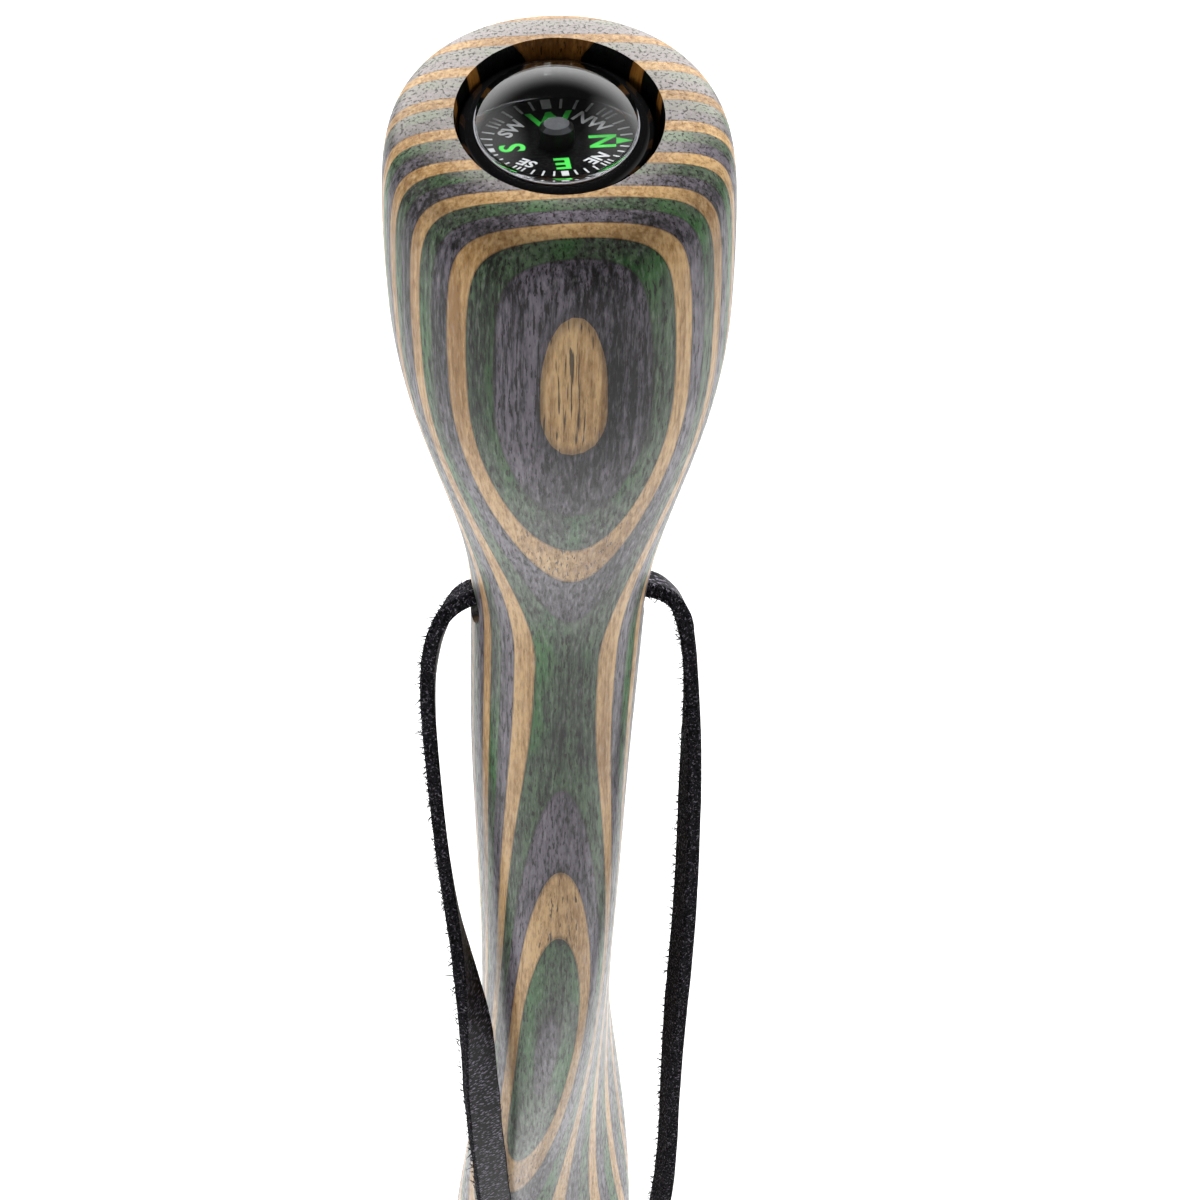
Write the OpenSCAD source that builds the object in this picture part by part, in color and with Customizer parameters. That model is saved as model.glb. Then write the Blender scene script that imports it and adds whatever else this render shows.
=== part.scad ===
// Hiking staff: a carved blank of dyed veneer plies with a twisted shaft, a domed compass in its head,
// a leather lace through its neck and a rubber ferrule on its foot.
// Millimetres. +Z is up the staff, the front faces -Y, and the origin is the middle of the ferrule's sole.

/* [Blank] */
// Height of the staff from the ground to the crown of the head
staff_h = 1397; // [1300:1:1550]
// Thickness of one veneer ply
ply_t = 1.6; // [1.5:0.05:1.8]
// Share of the middle ply that lies in front of the staff's axis
axis_share = 0.8; // [0.6:0.05:0.85]

/* [Head] */
// Width of the head
head_w = 41.4; // [40:0.2:44]
// Depth of the head, front to back
head_d = 41.6; // [41.4:0.1:42.5]
// Squareness of the head's section, 2 for an oval
head_n = 2.1; // [2:0.05:2.8]
// Height over which the crown is rounded
crown_h = 20; // [16:0.5:24]
// Squareness of the crown's rounding
crown_n = 7.2; // [5:0.1:9]
// Distance from the crown to the fullest level of the barrel-shaped head
barrel_drop = 23.5; // [20:0.5:27]
// How far each side of the barrel draws in from there to the crown
barrel_in = 1.1; // [0:0.1:1.6]
// Distance from the crown to where the head starts to narrow
head_full = 27; // [24:1:34]

/* [Neck] */
// Distance from the crown to the neck
neck_drop = 93; // [90:1:100]
// Width of the neck
neck_w = 24.4; // [24:0.2:26]
// Depth of the neck, front to back
neck_d = 26.8; // [25:0.2:30]
// How far the carved neck bows to the right
neck_bow = 1; // [0:0.1:1.2]
// Distance from the crown to the middle of the bow
bow_drop = 71; // [66:1:75]
// Length of each half of the bow
bow_len = 75; // [60:1:80]
// Turn of the neck against the shaft's twist
neck_turn = 9; // [0:1:15]

/* [Shaft] */
// Distance from the crown to where the shaft starts to swell
swell_start = 101; // [98:1:112]
// Distance from the crown to the first full section of the shaft
swell_end = 204; // [195:1:225]
// Shaft across its wide way
shaft_wide = 38.4; // [36:0.2:41]
// Shaft across its narrow way
shaft_thin = 22.6; // [22:0.2:24]
// Shaft across its wide way where it starts to fade into the tenon
shaft_wide_low = 34.5; // [32:0.5:38]
// Length of one whole turn of the twist
twist_pitch = 530; // [460:10:600]
// Distance from the crown to the start of the twist
twist_start = 167; // [160:1:185]
// Length over which the twist comes up to its full rate
twist_ramp = 80; // [60:5:100]

/* [Foot] */
// Diameter of the tenon at the staff's foot
tenon_d = 22; // [20:0.5:24]
// Length over which the twisted shaft fades into the round tenon
fade_len = 150; // [120:5:200]
// Length of round wood that stands out above the ferrule
tenon_show = 6; // [3:0.5:10]

/* [Ferrule] */
// Height of the ferrule
ferrule_h = 42; // [36:1:50]
// Thickness of the ferrule's sole
sole_t = 8; // [6:0.5:12]
// Wall of the ferrule's sleeve
ferrule_wall = 3; // [2.5:0.25:5]
// How far the sole stands out past the sleeve
sole_flare = 3.5; // [2:0.25:6]
// Height of the flared sole
flare_h = 11; // [9:0.5:14]
// Depth of the grooves round the sole and in its tread
groove = 1; // [0.5:0.1:1.5]
// Radial clearance of the tenon in the ferrule
ferrule_fit = 0.15; // [0.05:0.05:0.3]
// Thickness of the steel washer under the tenon
washer_t = 1.6; // [1:0.1:2.5]
// Hole of the steel washer
washer_hole = 6; // [4:0.5:9]

/* [Compass] */
// Diameter of the seat bored in the head
seat_d = 23.4; // [23.2:0.1:24]
// How far the seat lies behind the staff's axis
seat_back = 0.3; // [0:0.05:0.6]
// How far the compass sits to the left in its seat
seat_left = 0.3; // [0:0.05:0.4]
// Diameter of the compass's flange
flange_d = 22; // [21:0.1:22.2]
// Thickness of the flange
flange_t = 1.2; // [1:0.1:1.6]
// Distance from the crown down to the flange's top
flange_drop = 1.6; // [1.4:0.1:2]
// Diameter of the dome at the flange
dome_d = 18.2; // [17.4:0.1:19]
// Height of the dome's upright wall
dome_wall_h = 1; // [0.4:0.1:1.4]
// Height of the whole dome above the flange
dome_h = 4.4; // [3.4:0.1:5.4]
// Wall of the clear dome
dome_t = 0.8; // [0.6:0.1:1]
// Diameter of the case below the flange
case_d = 20.6; // [20:0.1:20.8]
// Height of the case below the flange
case_h = 7.6; // [7.4:0.1:9.5]
// Wall and floor of the case
case_t = 0.9; // [0.7:0.05:1.1]
// Distance from the crown down to the pivot's tip
pivot_drop = 3.8; // [3.6:0.1:4.2]
// Tilt of the card, which hangs level while the staff leans forward
card_tilt = 23.8; // [0:0.2:24]
// Diameter of the dial card
card_d = 14.8; // [14:0.1:15]
// Thickness of the dial card
card_t = 0.4; // [0.3:0.05:0.5]
// Distance from the pivot's tip down to the card's face
card_drop = 1.7; // [1.5:0.05:1.9]
// Diameter of the card's hub
hub_d = 3.2; // [3.1:0.1:4]
// Height of the hub above the pivot's tip
hub_top = 0.5; // [0.45:0.05:0.7]
// Diameter of the jewel cup in the hub
jewel_d = 1.9; // [1.7:0.1:2]
// Height of the jewel cup above the pivot's tip
jewel_top = 0.3; // [0.25:0.05:0.35]
// Height of the jewel cup below the pivot's tip
jewel_low = 0.5; // [0.4:0.05:0.6]
// Diameter of the pivot pin
pin_d = 0.6; // [0.5:0.05:0.65]
// Diameter of the pin's blunt tip
tip_d = 0.2; // [0.1:0.05:0.25]
// Length of the pin's point
tip_h = 0.6; // [0.4:0.1:1]
// Clearance between the pin and what turns on it
pin_fit = 0.06; // [0.04:0.01:0.08]
// Outer diameter of the magnet ring
magnet_d = 9; // [7:0.5:10]
// Thickness of the magnet ring
magnet_t = 1.2; // [0.8:0.1:1.4]

/* [Strap] */
// Diameter of the cross bore in the neck
bore_d = 9; // [8.8:0.1:10]
// Distance from the crown to the cross bore
bore_drop = 91; // [90.8:0.1:91.2]
// Width of the leather lace
lace_w = 6.4; // [5:0.1:6.4]
// Thickness of the leather lace
lace_t = 2.2; // [2:0.1:2.8]
// Diameter of the knot that closes the loop
knot_d = 14; // [12:0.5:15]
// Height of the knot
knot_h = 13; // [10:0.5:16]

/* [Hidden] */
$fn = 96;
tiny = 0.001;

// Plies, counted out from the axis to the head's front and back, and the dyes in their order
spare = 0.1;
plies_front = ceil(head_d / 2 / ply_t - axis_share - spare);
plies_back = ceil(head_d / 2 / ply_t - (1 - axis_share) - spare);
ply_n = plies_front + 1 + plies_back;
dye_names = ["natural", "purple", "green"];
dye_colors = [[0.82, 0.62, 0.40], [0.36, 0.32, 0.36], [0.27, 0.33, 0.28]];

// Levels down the staff, measured from the crown
foot_drop = staff_h - sole_t - washer_t;
tenon_drop = staff_h - ferrule_h - tenon_show;
fade_drop = tenon_drop - fade_len;
turn_drop = twist_start + twist_ramp / 2;
seat_depth = flange_drop + flange_t + case_h;

// The crown starts from a flat of this share of the head, inside the compass seat
crown_flat = 0.53;
crown_start = pow(1 - pow(crown_flat, crown_n), 1 / crown_n);

// Compass heights
flange_top = staff_h - flange_drop;
case_top = flange_top - flange_t;
case_low = case_top - case_h;
pivot_z = staff_h - pivot_drop;

// Lace route: [x, y, distance below the crown, turn of the lace about its run]
left_route = [
    [-6, 0, 91, 35], [-8, 0, 91, 35], [-11.2, 0, 91.8, 34], [-13.8, 0, 94.2, 30], [-15.6, -0.4, 97.8, 26],
    [-16.8, -0.8, 102.2, 19], [-17.8, -1.4, 109.5, 9], [-18.2, -2.2, 121, 1], [-18, -3.4, 133, -2],
    [-17.6, -5, 146, -3], [-16.9, -7, 160, -4], [-15.9, -9.4, 173, -1], [-14.6, -12.2, 185, 15],
    [-13.4, -15, 197, 41], [-12.8, -17.6, 211, 61], [-12.2, -19.8, 227, 69], [-11.6, -21.2, 245, 70],
    [-10.8, -21.8, 263, 64], [-9.4, -22, 282, 52], [-7.6, -22, 302, 36], [-5.2, -22, 322, 20],
    [-3, -22, 342, 8], [-1.8, -22, 356, 2], [-1.4, -22, 366, 0], [-1.4, -22, 371, 0]];
right_route = [
    [6, 0, 91, -35], [8, 0, 91, -35], [12, 0, 91.4, -35], [15.3, 0, 93, -30], [17.6, -0.3, 96.4, -20],
    [19, -0.6, 101.6, -7], [20.3, -1.4, 111, 2], [21, -2.2, 121, 0], [21.4, -3.4, 133, -6],
    [21.7, -5, 147, -10], [21.9, -6.8, 161, -12], [22, -8.6, 178, -12], [21.8, -10.6, 194, -13],
    [21.5, -12.8, 211, -12], [21.5, -15, 229, -10], [21.7, -17, 246, -10], [21.5, -18.8, 263, -9],
    [20.4, -20.2, 281, -7], [17.8, -21.2, 300, -5], [13.8, -21.8, 319, -3], [9.2, -22, 336, -2],
    [4.8, -22, 351, -1], [2.2, -22, 361, 0], [1.4, -22, 367, 0], [1.4, -22, 371, 0]];
tail_route = [[0, 0, 0, 0], [0.2, 0, 5, 0], [1.2, 0, 13, 6], [2.6, -0.4, 21, 14], [3.6, -1, 30, 20]];
bore_end = left_route[0][0];
bore_turn = right_route[0][3];
knot_y = left_route[len(left_route) - 1][1];
knot_drop = left_route[len(left_route) - 1][2];

function two_digits(i) = str(i < 10 ? "0" : "", i);
function ply_name(i) = str("ply_", two_digits(i + 1), "_", dye_names[i % 3]);
function ply_front(i) = (i - plies_front - axis_share) * ply_t;

// The carved form. Each function takes the distance below the crown.

// 1 before the stretch, 0 after it, with a smooth fall between.
function fall(t) = t <= 0 ? 1 : t >= 1 ? 0 : (1 + cos(180 * t)) / 2;
function mix(a, b, t) = a + (b - a) * t;
function crown(d) = d >= crown_h ? 1
    : pow(1 - pow(crown_start * (1 - max(d, 0) / crown_h), crown_n), 1 / crown_n);
function barrel(d) = 1 - 2 * barrel_in / head_d * pow(max(1 - d / barrel_drop, 0), 2);
function head_share(d) = fall((d - head_full) / (neck_drop - head_full));
function shaft_share(d) = 1 - fall((d - swell_start) / (swell_end - swell_start));
function tenon_share(d) = 1 - fall((d - fade_drop) / fade_len);
function low_wide(d) = mix(shaft_wide, shaft_wide_low,
    min(max((d - swell_end) / (fade_drop - swell_end), 0), 1));

// Turn of the shaft's wide way from front-to-back.
function twist(d) = 360 / twist_pitch * (
    d < twist_start ? 0
    : d < twist_start + twist_ramp ? pow(d - twist_start, 2) / (2 * twist_ramp)
    : d - turn_drop) - neck_turn * (1 - head_share(d)) * (1 - shaft_share(d));

// Sideways bow of the neck.
function bow(d) = neck_bow * fall(abs(d - bow_drop) / bow_len);

function half_wide(d) = mix(mix(mix(neck_d, head_d, head_share(d)), low_wide(d), shaft_share(d)),
    tenon_d, tenon_share(d)) / 2;
function half_thin(d) = mix(mix(mix(neck_w, head_w, head_share(d)), shaft_thin, shaft_share(d)),
    tenon_d, tenon_share(d)) / 2;

// A section is [half width, half depth, sideways lean, squareness, sideways bow].
function section(d) = let (
    p = half_wide(d), q = half_thin(d), t = twist(d), s = crown(d) * barrel(d),
    b = sqrt(pow(p * cos(t), 2) + pow(q * sin(t), 2)))
    [p * q / b * s, b * s, (p * p - q * q) * sin(t) * cos(t) / (b * b),
     mix(2, head_n, head_share(d)), bow(d)];
function half_depth(d) = section(d)[1];
function half_width(sec, y) = abs(y) >= sec[1] - tiny ? 0
    : sec[0] * pow(1 - pow(abs(y) / sec[1], sec[3]), 1 / sec[3]);

// Stations down the staff: close together on the crown, and by equal turns down the shaft.
turn_step = 22.5;
shaft_step = twist_pitch * turn_step / 360;
crown_stations = [for (t = [0, 0.005, 0.015, 0.04, 0.09, 0.2, 0.4, 0.7, 1]) t * crown_h];
head_stations = [for (t = [0.13, 0.27, 0.41, 0.55, 0.69, 0.84]) mix(crown_h, neck_drop, t)];
neck_stations = [for (t = [0, 0.12, 0.23, 0.35, 0.47, 0.6, 0.74, 0.88, 1]) mix(neck_drop, turn_drop, t)];
shaft_stations = [for (d = [turn_drop + shaft_step : shaft_step : tenon_drop - shaft_step / 2]) d];
stations = concat(crown_stations, head_stations, neck_stations, shaft_stations, [tenon_drop, foot_drop]);

// Level between a and b where the half depth equals y.
function cross_level(a, b, y, n = 30) = n == 0 ? (a + b) / 2
    : let (m = (a + b) / 2)
      (half_depth(a) - y) * (half_depth(m) - y) <= 0 ? cross_level(a, m, y, n - 1)
      : cross_level(m, b, y, n - 1);
function crossings(a, b, y) = (half_depth(a) - y) * (half_depth(b) - y) < 0
    ? [cross_level(a, b, y)] : [];
function in_order(v) = len(v) == 2 && v[0] > v[1] ? [v[1], v[0]] : v;

// Stations of one ply, with the levels where its faces run out through the carved surface.
function ply_stations(near, far) = concat(
    [for (i = [0 : len(stations) - 2]) each concat([stations[i]], in_order(concat(
        crossings(stations[i], stations[i + 1], near), crossings(stations[i], stations[i + 1], far))))],
    [foot_drop]);

// Runs of stations where the ply still has wood, as lists of levels.
function runs(levels, near) = let (has = [for (d = levels) half_depth(d) > near - tiny])
    [for (i = [0 : len(levels) - 1]) if (has[i] && (i == 0 || !has[i - 1]))
        let (ends = [for (j = [i : len(levels) - 1]) if (j == len(levels) - 1 || !has[j + 1]) j])
        [for (j = [i : ends[0]]) levels[j]]];

// Outline of a ply at one level: down its right side from front to back, and back up its left side.
function ply_ring(d, y0, y1, shares) = let (
    sec = section(d),
    f = max(min(y0, sec[1]), -sec[1]), b = max(min(y1, sec[1]), -sec[1]),
    ys = [for (t = shares) mix(f, b, t)], n = len(ys),
    mid = [for (y = ys) sec[4] + sec[2] * y], z = staff_h - d)
    concat([for (i = [0 : n - 1]) [mid[i] + half_width(sec, ys[i]), ys[i], z]],
           [for (i = [n - 1 : -1 : 0]) [mid[i] - half_width(sec, ys[i]), ys[i], z]]);

// Place in a ring of the first corner that lies on corner j.
function same_as(ring, j) = [for (i = [0 : j]) if (norm(ring[i] - ring[j]) < 5 * tiny) i][0];
function whole(tri) = tri[0] != tri[1] && tri[1] != tri[2] && tri[0] != tri[2];

// Closed solid through a list of rings with equal counts.
module loft(rings) {
    m = len(rings[0]);
    n = len(rings);
    at = [for (s = [0 : n - 1]) [for (j = [0 : m - 1]) s * m + same_as(rings[s], j)]];
    sides = [for (s = [0 : n - 2]) for (j = [0 : m - 1]) let (k = (j + 1) % m)
        each [[at[s][j], at[s][k], at[s + 1][k]], [at[s][j], at[s + 1][k], at[s + 1][j]]]];
    top = [for (j = [1 : m - 2]) [at[0][0], at[0][j + 1], at[0][j]]];
    low = [for (j = [1 : m - 2]) [at[n - 1][0], at[n - 1][j], at[n - 1][j + 1]]];
    polyhedron([for (r = rings) each r], [for (f = concat(sides, top, low)) if (whole(f)) f]);
}

// What is left of one ply after carving, before it is bored.
module ply_body(i) {
    y0 = ply_front(i);
    y1 = y0 + ply_t;
    near = y0 > 0 ? y0 : y1 < 0 ? -y1 : 0;
    far = max(-y0, y1);
    inner = far < min(shaft_thin, tenon_d, neck_d) / 2;
    shares = inner ? [0, 1] : y0 < 0 ? [0, 0.35, 1] : [0, 0.65, 1];
    for (levels = runs(ply_stations(near, far), near))
        if (len(levels) > 2 && max([for (d = levels) half_depth(d)]) > near + spare / 2)
            loft([for (d = levels) ply_ring(d, y0, y1, shares)]);
}

module compass_seat() {
    translate([0, seat_back, staff_h - seat_depth]) cylinder(d = seat_d, h = 2 * seat_depth);
}

module cross_bore() {
    translate([0, 0, staff_h - bore_drop]) rotate([0, 90, 0])
        cylinder(d = bore_d, h = 2 * head_w, center = true);
}

module ply(i) {
    y0 = ply_front(i);
    y1 = y0 + ply_t;
    color(dye_colors[i % 3])
    if (y1 > seat_back - seat_d / 2 && y0 < seat_back + seat_d / 2)
        difference() {
            ply_body(i);
            compass_seat();
            if (y1 > -bore_d / 2 && y0 < bore_d / 2) cross_bore();
        }
    else
        ply_body(i);
}

// Places the compass in its seat.
module compass_place() {
    translate([-seat_left, seat_back, 0]) children();
}

// Cup that holds the liquid, with a boss for the pivot.
module compass_case() {
    color([0.06, 0.06, 0.065])
    compass_place() translate([0, 0, case_low]) rotate_extrude()
        polygon([[pin_d / 2, 0], [case_d / 2, 0], [case_d / 2, case_h], [case_d / 2 - case_t, case_h],
                 [case_d / 2 - case_t, case_t], [3 * pin_d, case_t], [2 * pin_d, 2 * case_t],
                 [pin_d / 2, 2 * case_t]]);
}

// Clear dome moulded in one with its flange.
dome_r = (pow(dome_d / 2, 2) + pow(dome_h - dome_wall_h, 2)) / (2 * (dome_h - dome_wall_h));
dome_edge = asin(dome_d / 2 / dome_r);
inner_edge = asin((dome_d / 2 - dome_t) / (dome_r - dome_t));
dome_mid = flange_top + dome_h - dome_r;
module compass_lens() {
    outside = [for (i = [0 : 12]) let (t = dome_edge * i / 12)
        [dome_r * sin(t), dome_mid + dome_r * cos(t)]];
    inside = [for (i = [12 : -1 : 0]) let (t = inner_edge * i / 12)
        [(dome_r - dome_t) * sin(t), dome_mid + (dome_r - dome_t) * cos(t)]];
    color([0.75, 0.78, 0.8, 0.45])
    compass_place() rotate_extrude()
        polygon(concat(outside, [[dome_d / 2, flange_top], [flange_d / 2, flange_top],
                [flange_d / 2, case_top], [dome_d / 2 - dome_t, case_top]], inside));
}

// Upright pin with a blunt point.
module compass_pivot() {
    shank = pivot_z - tip_h - case_low;
    color([0.72, 0.72, 0.7])
    compass_place() translate([0, 0, case_low]) rotate_extrude($fn = 48)
        polygon([[0, 0], [pin_d / 2, 0], [pin_d / 2, shank], [tip_d / 2, shank + tip_h],
                 [0, shank + tip_h]]);
}

// Places what turns on the pivot: the tip is its origin, and the card's normal its Z.
module card_place() {
    compass_place() translate([0, 0, pivot_z]) rotate([-card_tilt, 0, 0]) children();
}

// Radius that clears the upright pin at a depth below its tip, as the tilted card turns.
function clear_of_pin(s) = s * tan(card_tilt) + pin_d / 2 / cos(card_tilt) + pin_fit;

module compass_card() {
    low = card_drop + card_t;
    color([0.02, 0.02, 0.02])
    card_place() translate([0, 0, -low]) difference() {
        cylinder(d = card_d, h = card_t);
        translate([0, 0, -1]) cylinder(r = clear_of_pin(low), h = card_t + 2);
    }
}

// Cap on the card that holds the jewel over the pin.
module card_hub() {
    r = hub_d / 2;
    color([0.45, 0.46, 0.47])
    card_place() rotate_extrude()
        polygon([[0, jewel_top], [0, hub_top], [r * 0.75, hub_top], [r, hub_top - r / 4], [r, -card_drop],
                 [clear_of_pin(card_drop), -card_drop], [clear_of_pin(jewel_low), -jewel_low],
                 [jewel_d / 2, -jewel_low], [jewel_d / 2, jewel_top]]);
}

module card_jewel() {
    color([0.7, 0.15, 0.2])
    card_place() rotate_extrude($fn = 48)
        polygon([[0, 2 * pin_fit], [0, jewel_top], [jewel_d / 2, jewel_top], [jewel_d / 2, -jewel_low],
                 [clear_of_pin(jewel_low), -jewel_low], [clear_of_pin(0), 0], [tip_d, 2 * pin_fit]]);
}

module card_magnet() {
    low = card_drop + card_t + magnet_t;
    color([0.25, 0.25, 0.27])
    card_place() translate([0, 0, -low]) difference() {
        cylinder(d = magnet_d, h = magnet_t);
        translate([0, 0, -1]) cylinder(r = clear_of_pin(low), h = magnet_t + 2);
    }
}

// Flat lace: an eight-cornered section swept along its route, with its width first along Y.
function unit(v) = v / norm(v);
function spot(p) = [p[0], p[1], -p[2]];
function heading(route, i) = unit(spot(route[min(i + 1, len(route) - 1)]) - spot(route[max(i - 1, 0)]));
function lace_corners() = let (w = lace_w / 2, t = lace_t / 2, c = lace_t / 4)
    [[w, t - c], [w, c - t], [w - c, -t], [c - w, -t], [-w, c - t], [-w, t - c], [c - w, t], [w - c, t]];
function lace_ring(route, i) = let (
    along = heading(route, i), turn = route[i][3],
    flat0 = unit([0, 1, 0] - along * along[1]), face0 = cross(along, flat0),
    flat = flat0 * cos(turn) + face0 * sin(turn), face = cross(along, flat))
    [for (c = lace_corners()) spot(route[i]) + flat * c[0] + face * c[1]];

module lace(route) {
    color([0.035, 0.032, 0.03]) translate([0, 0, staff_h])
        loft([for (i = [0 : len(route) - 1]) lace_ring(route, i)]);
}

module strap_bore() {
    lace([for (x = [bore_end, 0, -bore_end]) [x, 0, bore_drop, bore_turn]]);
}

module strap_left() { lace(left_route); }
module strap_right() { lace(right_route); }

// Overhand knot, drawn down to a ribbed lump with flat ends.
module strap_knot() {
    r = knot_d / 2;
    dip = lace_t / 4;
    color([0.03, 0.028, 0.026])
    translate([0, knot_y, staff_h - knot_drop - knot_h]) rotate_extrude()
        polygon([[0, 0], [r * 0.7, 0], [r * 0.95, knot_h * 0.14], [r, knot_h * 0.28],
                 [r - dip, knot_h * 0.36], [r, knot_h * 0.44], [r, knot_h * 0.58], [r - dip, knot_h * 0.66],
                 [r * 0.96, knot_h * 0.76], [r * 0.86, knot_h * 0.92], [r * 0.72, knot_h], [0, knot_h]]);
}

module strap_tail(side) {
    start = [side * lace_t * 0.65, knot_y, knot_drop + knot_h, 0];
    lace([for (p = tail_route) start + [side * p[0], p[1], p[2], side * p[3]]]);
}

module strap_tail_left() { strap_tail(-1); }
module strap_tail_right() { strap_tail(1); }

// Push-on rubber ferrule: a tapered sleeve on a flared sole with ring grooves.
module ferrule() {
    bore_r = tenon_d / 2 + ferrule_fit;
    sleeve_r = bore_r + ferrule_wall;
    sole_r = sleeve_r + sole_flare;
    color([0.05, 0.05, 0.05])
    difference() {
        rotate_extrude()
            polygon([[0, 0], [sole_r - groove, 0], [sole_r, groove], [sole_r, flare_h * 0.4],
                     [sole_r - groove, flare_h * 0.4 + groove], [sole_r - groove, flare_h * 0.55],
                     [sole_r - groove / 2, flare_h * 0.55 + groove], [sole_r - groove, flare_h],
                     [sleeve_r + sole_flare * 0.3, flare_h + sole_flare],
                     [sleeve_r, flare_h + 3 * sole_flare],
                     [sleeve_r - ferrule_wall * 0.3, ferrule_h - groove],
                     [sleeve_r - ferrule_wall * 0.3 - groove, ferrule_h], [bore_r, ferrule_h],
                     [bore_r, sole_t], [0, sole_t]]);
        for (r = [sole_r * 0.4, sole_r * 0.7])
            translate([0, 0, -groove]) difference() {
                cylinder(r = r + groove, h = 2 * groove);
                translate([0, 0, -groove]) cylinder(r = r - groove, h = 4 * groove);
            }
    }
}

module ferrule_washer() {
    color([0.62, 0.63, 0.64])
    translate([0, 0, sole_t]) difference() {
        cylinder(r = tenon_d / 2, h = washer_t);
        translate([0, 0, -1]) cylinder(d = washer_hole, h = washer_t + 2);
    }
}

for (i = [0 : ply_n - 1]) ply(i);
compass_case();
compass_lens();
compass_pivot();
compass_card();
card_hub();
card_jewel();
card_magnet();
strap_bore();
strap_left();
strap_right();
strap_knot();
strap_tail_left();
strap_tail_right();
ferrule();
ferrule_washer();
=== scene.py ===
"""Looks of the hiking staff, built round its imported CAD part.

Lengths in the size fields are millimetres unless a name ends in _m. The row frame is in metres: +Z is up the
staff, the front faces -Y, and the origin is the middle of the ferrule's sole.
"""

import logging
import math
import random
from dataclasses import dataclass, field
from enum import Enum
from typing import Iterable, Sequence

import bmesh
import bpy
import numpy as np
from mathutils import Matrix, Vector


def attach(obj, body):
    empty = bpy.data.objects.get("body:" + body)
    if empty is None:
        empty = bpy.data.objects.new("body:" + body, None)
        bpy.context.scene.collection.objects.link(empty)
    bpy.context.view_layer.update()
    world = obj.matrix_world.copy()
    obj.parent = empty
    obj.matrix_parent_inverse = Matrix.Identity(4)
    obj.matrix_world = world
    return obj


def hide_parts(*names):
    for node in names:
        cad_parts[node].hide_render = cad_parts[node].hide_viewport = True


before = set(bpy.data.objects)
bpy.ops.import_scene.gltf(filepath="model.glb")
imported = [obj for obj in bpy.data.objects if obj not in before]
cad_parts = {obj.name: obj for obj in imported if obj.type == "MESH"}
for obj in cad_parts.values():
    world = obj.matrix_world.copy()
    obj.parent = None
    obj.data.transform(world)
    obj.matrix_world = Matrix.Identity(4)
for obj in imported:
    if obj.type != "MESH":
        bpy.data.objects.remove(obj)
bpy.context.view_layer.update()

MM = 0.001
FULL_TURN = 2 * math.pi
LOG = logging.getLogger("hiking_staff")

Color = tuple[float, float, float]
Point = tuple[float, float, float]
Faces = list[list[int]]
Solid = tuple[np.ndarray, Faces]
# Points in metres and the lace's turn in degrees.
RoutePoint = tuple[float, float, float, float]
# The stretch that a value is read over, and the results at its two ends.
Fade = tuple[float, float, float, float]
# The least and the most, or the start and the end of a stretch.
Span = tuple[float, float]
Piece = bpy.types.Object
Socket = bpy.types.NodeSocket


class Body(Enum):
    """CAD bodies that pieces ride on."""

    STAFF = "staff"
    CARD = "card"
    STRAP = "strap"


class Dye(Enum):
    """Dyes of the veneer plies, by their place in the order that repeats from the front."""

    NATURAL = 0
    PURPLE = 1
    GREEN = 2


class Side(Enum):
    """Sides of the leather lace, by the place of their material on a stretch of lace."""

    GRAIN = 0
    FLESH = 1
    EDGE = 2


# Shared tools


def srgb(red: int, green: int, blue: int) -> Color:
    """Turns a colour as seen on screen into a linear one.

    Args:
        red, green, blue: Levels from 0 to 255.

    Returns:
        The linear colour.
    """
    levels = [v / 255 for v in (red, green, blue)]
    lin = [v / 12.92 if v <= 0.04045 else ((v + 0.055) / 1.055) ** 2.4 for v in levels]
    return lin[0], lin[1], lin[2]


def around(count: int) -> np.ndarray:
    """Gives the angles of equal steps round a full turn, in radians."""
    return np.linspace(0, FULL_TURN, count, endpoint=False)


def squared(wave: np.ndarray, power: float) -> np.ndarray:
    """Fills out a sine or cosine, so that a circle drawn by it turns squarish."""
    return np.sign(wave) * np.abs(wave) ** power


def heading(angle: float) -> tuple[np.ndarray, np.ndarray]:
    """Gives the directions along an angle and to its left, on the flat."""
    along = np.array([math.cos(angle), math.sin(angle)])
    return along, np.array([-along[1], along[0]])


def run_of(line: np.ndarray) -> np.ndarray:
    """Gives the distance along a line at each of its points."""
    return np.cumsum(np.concatenate([[0], np.linalg.norm(np.diff(line[:, :3], axis=0), axis=1)]))


def mesh_object(name: str, verts: np.ndarray, faces: Faces, smooth_deg: float = 40.0) -> Piece:
    """Makes a mesh object with smooth shading and sharp edges past an angle.

    Args:
        name: Name of the piece.
        verts: Points in metres, one per row.
        faces: Corner indices of each face.
        smooth_deg: Edges sharper than this stay sharp.

    Returns:
        The new object, linked to the scene.
    """
    mesh = bpy.data.meshes.new(name)
    mesh.from_pydata([tuple(v) for v in verts], [], [tuple(f) for f in faces])
    mesh.validate()
    mesh.shade_smooth()
    mesh.set_sharp_from_angle(angle=math.radians(smooth_deg))
    made = bpy.data.objects.new(name, mesh)
    bpy.context.scene.collection.objects.link(made)
    return made


def ring_faces(rings: int, count: int, caps: bool = True) -> Faces:
    """Faces of a skin through equal rings of points.

    Args:
        rings: Number of rings.
        count: Points in each ring.
        caps: Whether the two ends are closed.

    Returns:
        Corner indices of each face.
    """
    faces = []
    for low in range(0, (rings - 1) * count, count):
        high = low + count
        for j in range(count):
            k = (j + 1) % count
            faces.append([low + j, low + k, high + k, high + j])
    if caps:
        faces.append(list(range(count - 1, -1, -1)))
        faces.append([(rings - 1) * count + j for j in range(count)])
    return faces


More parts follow.
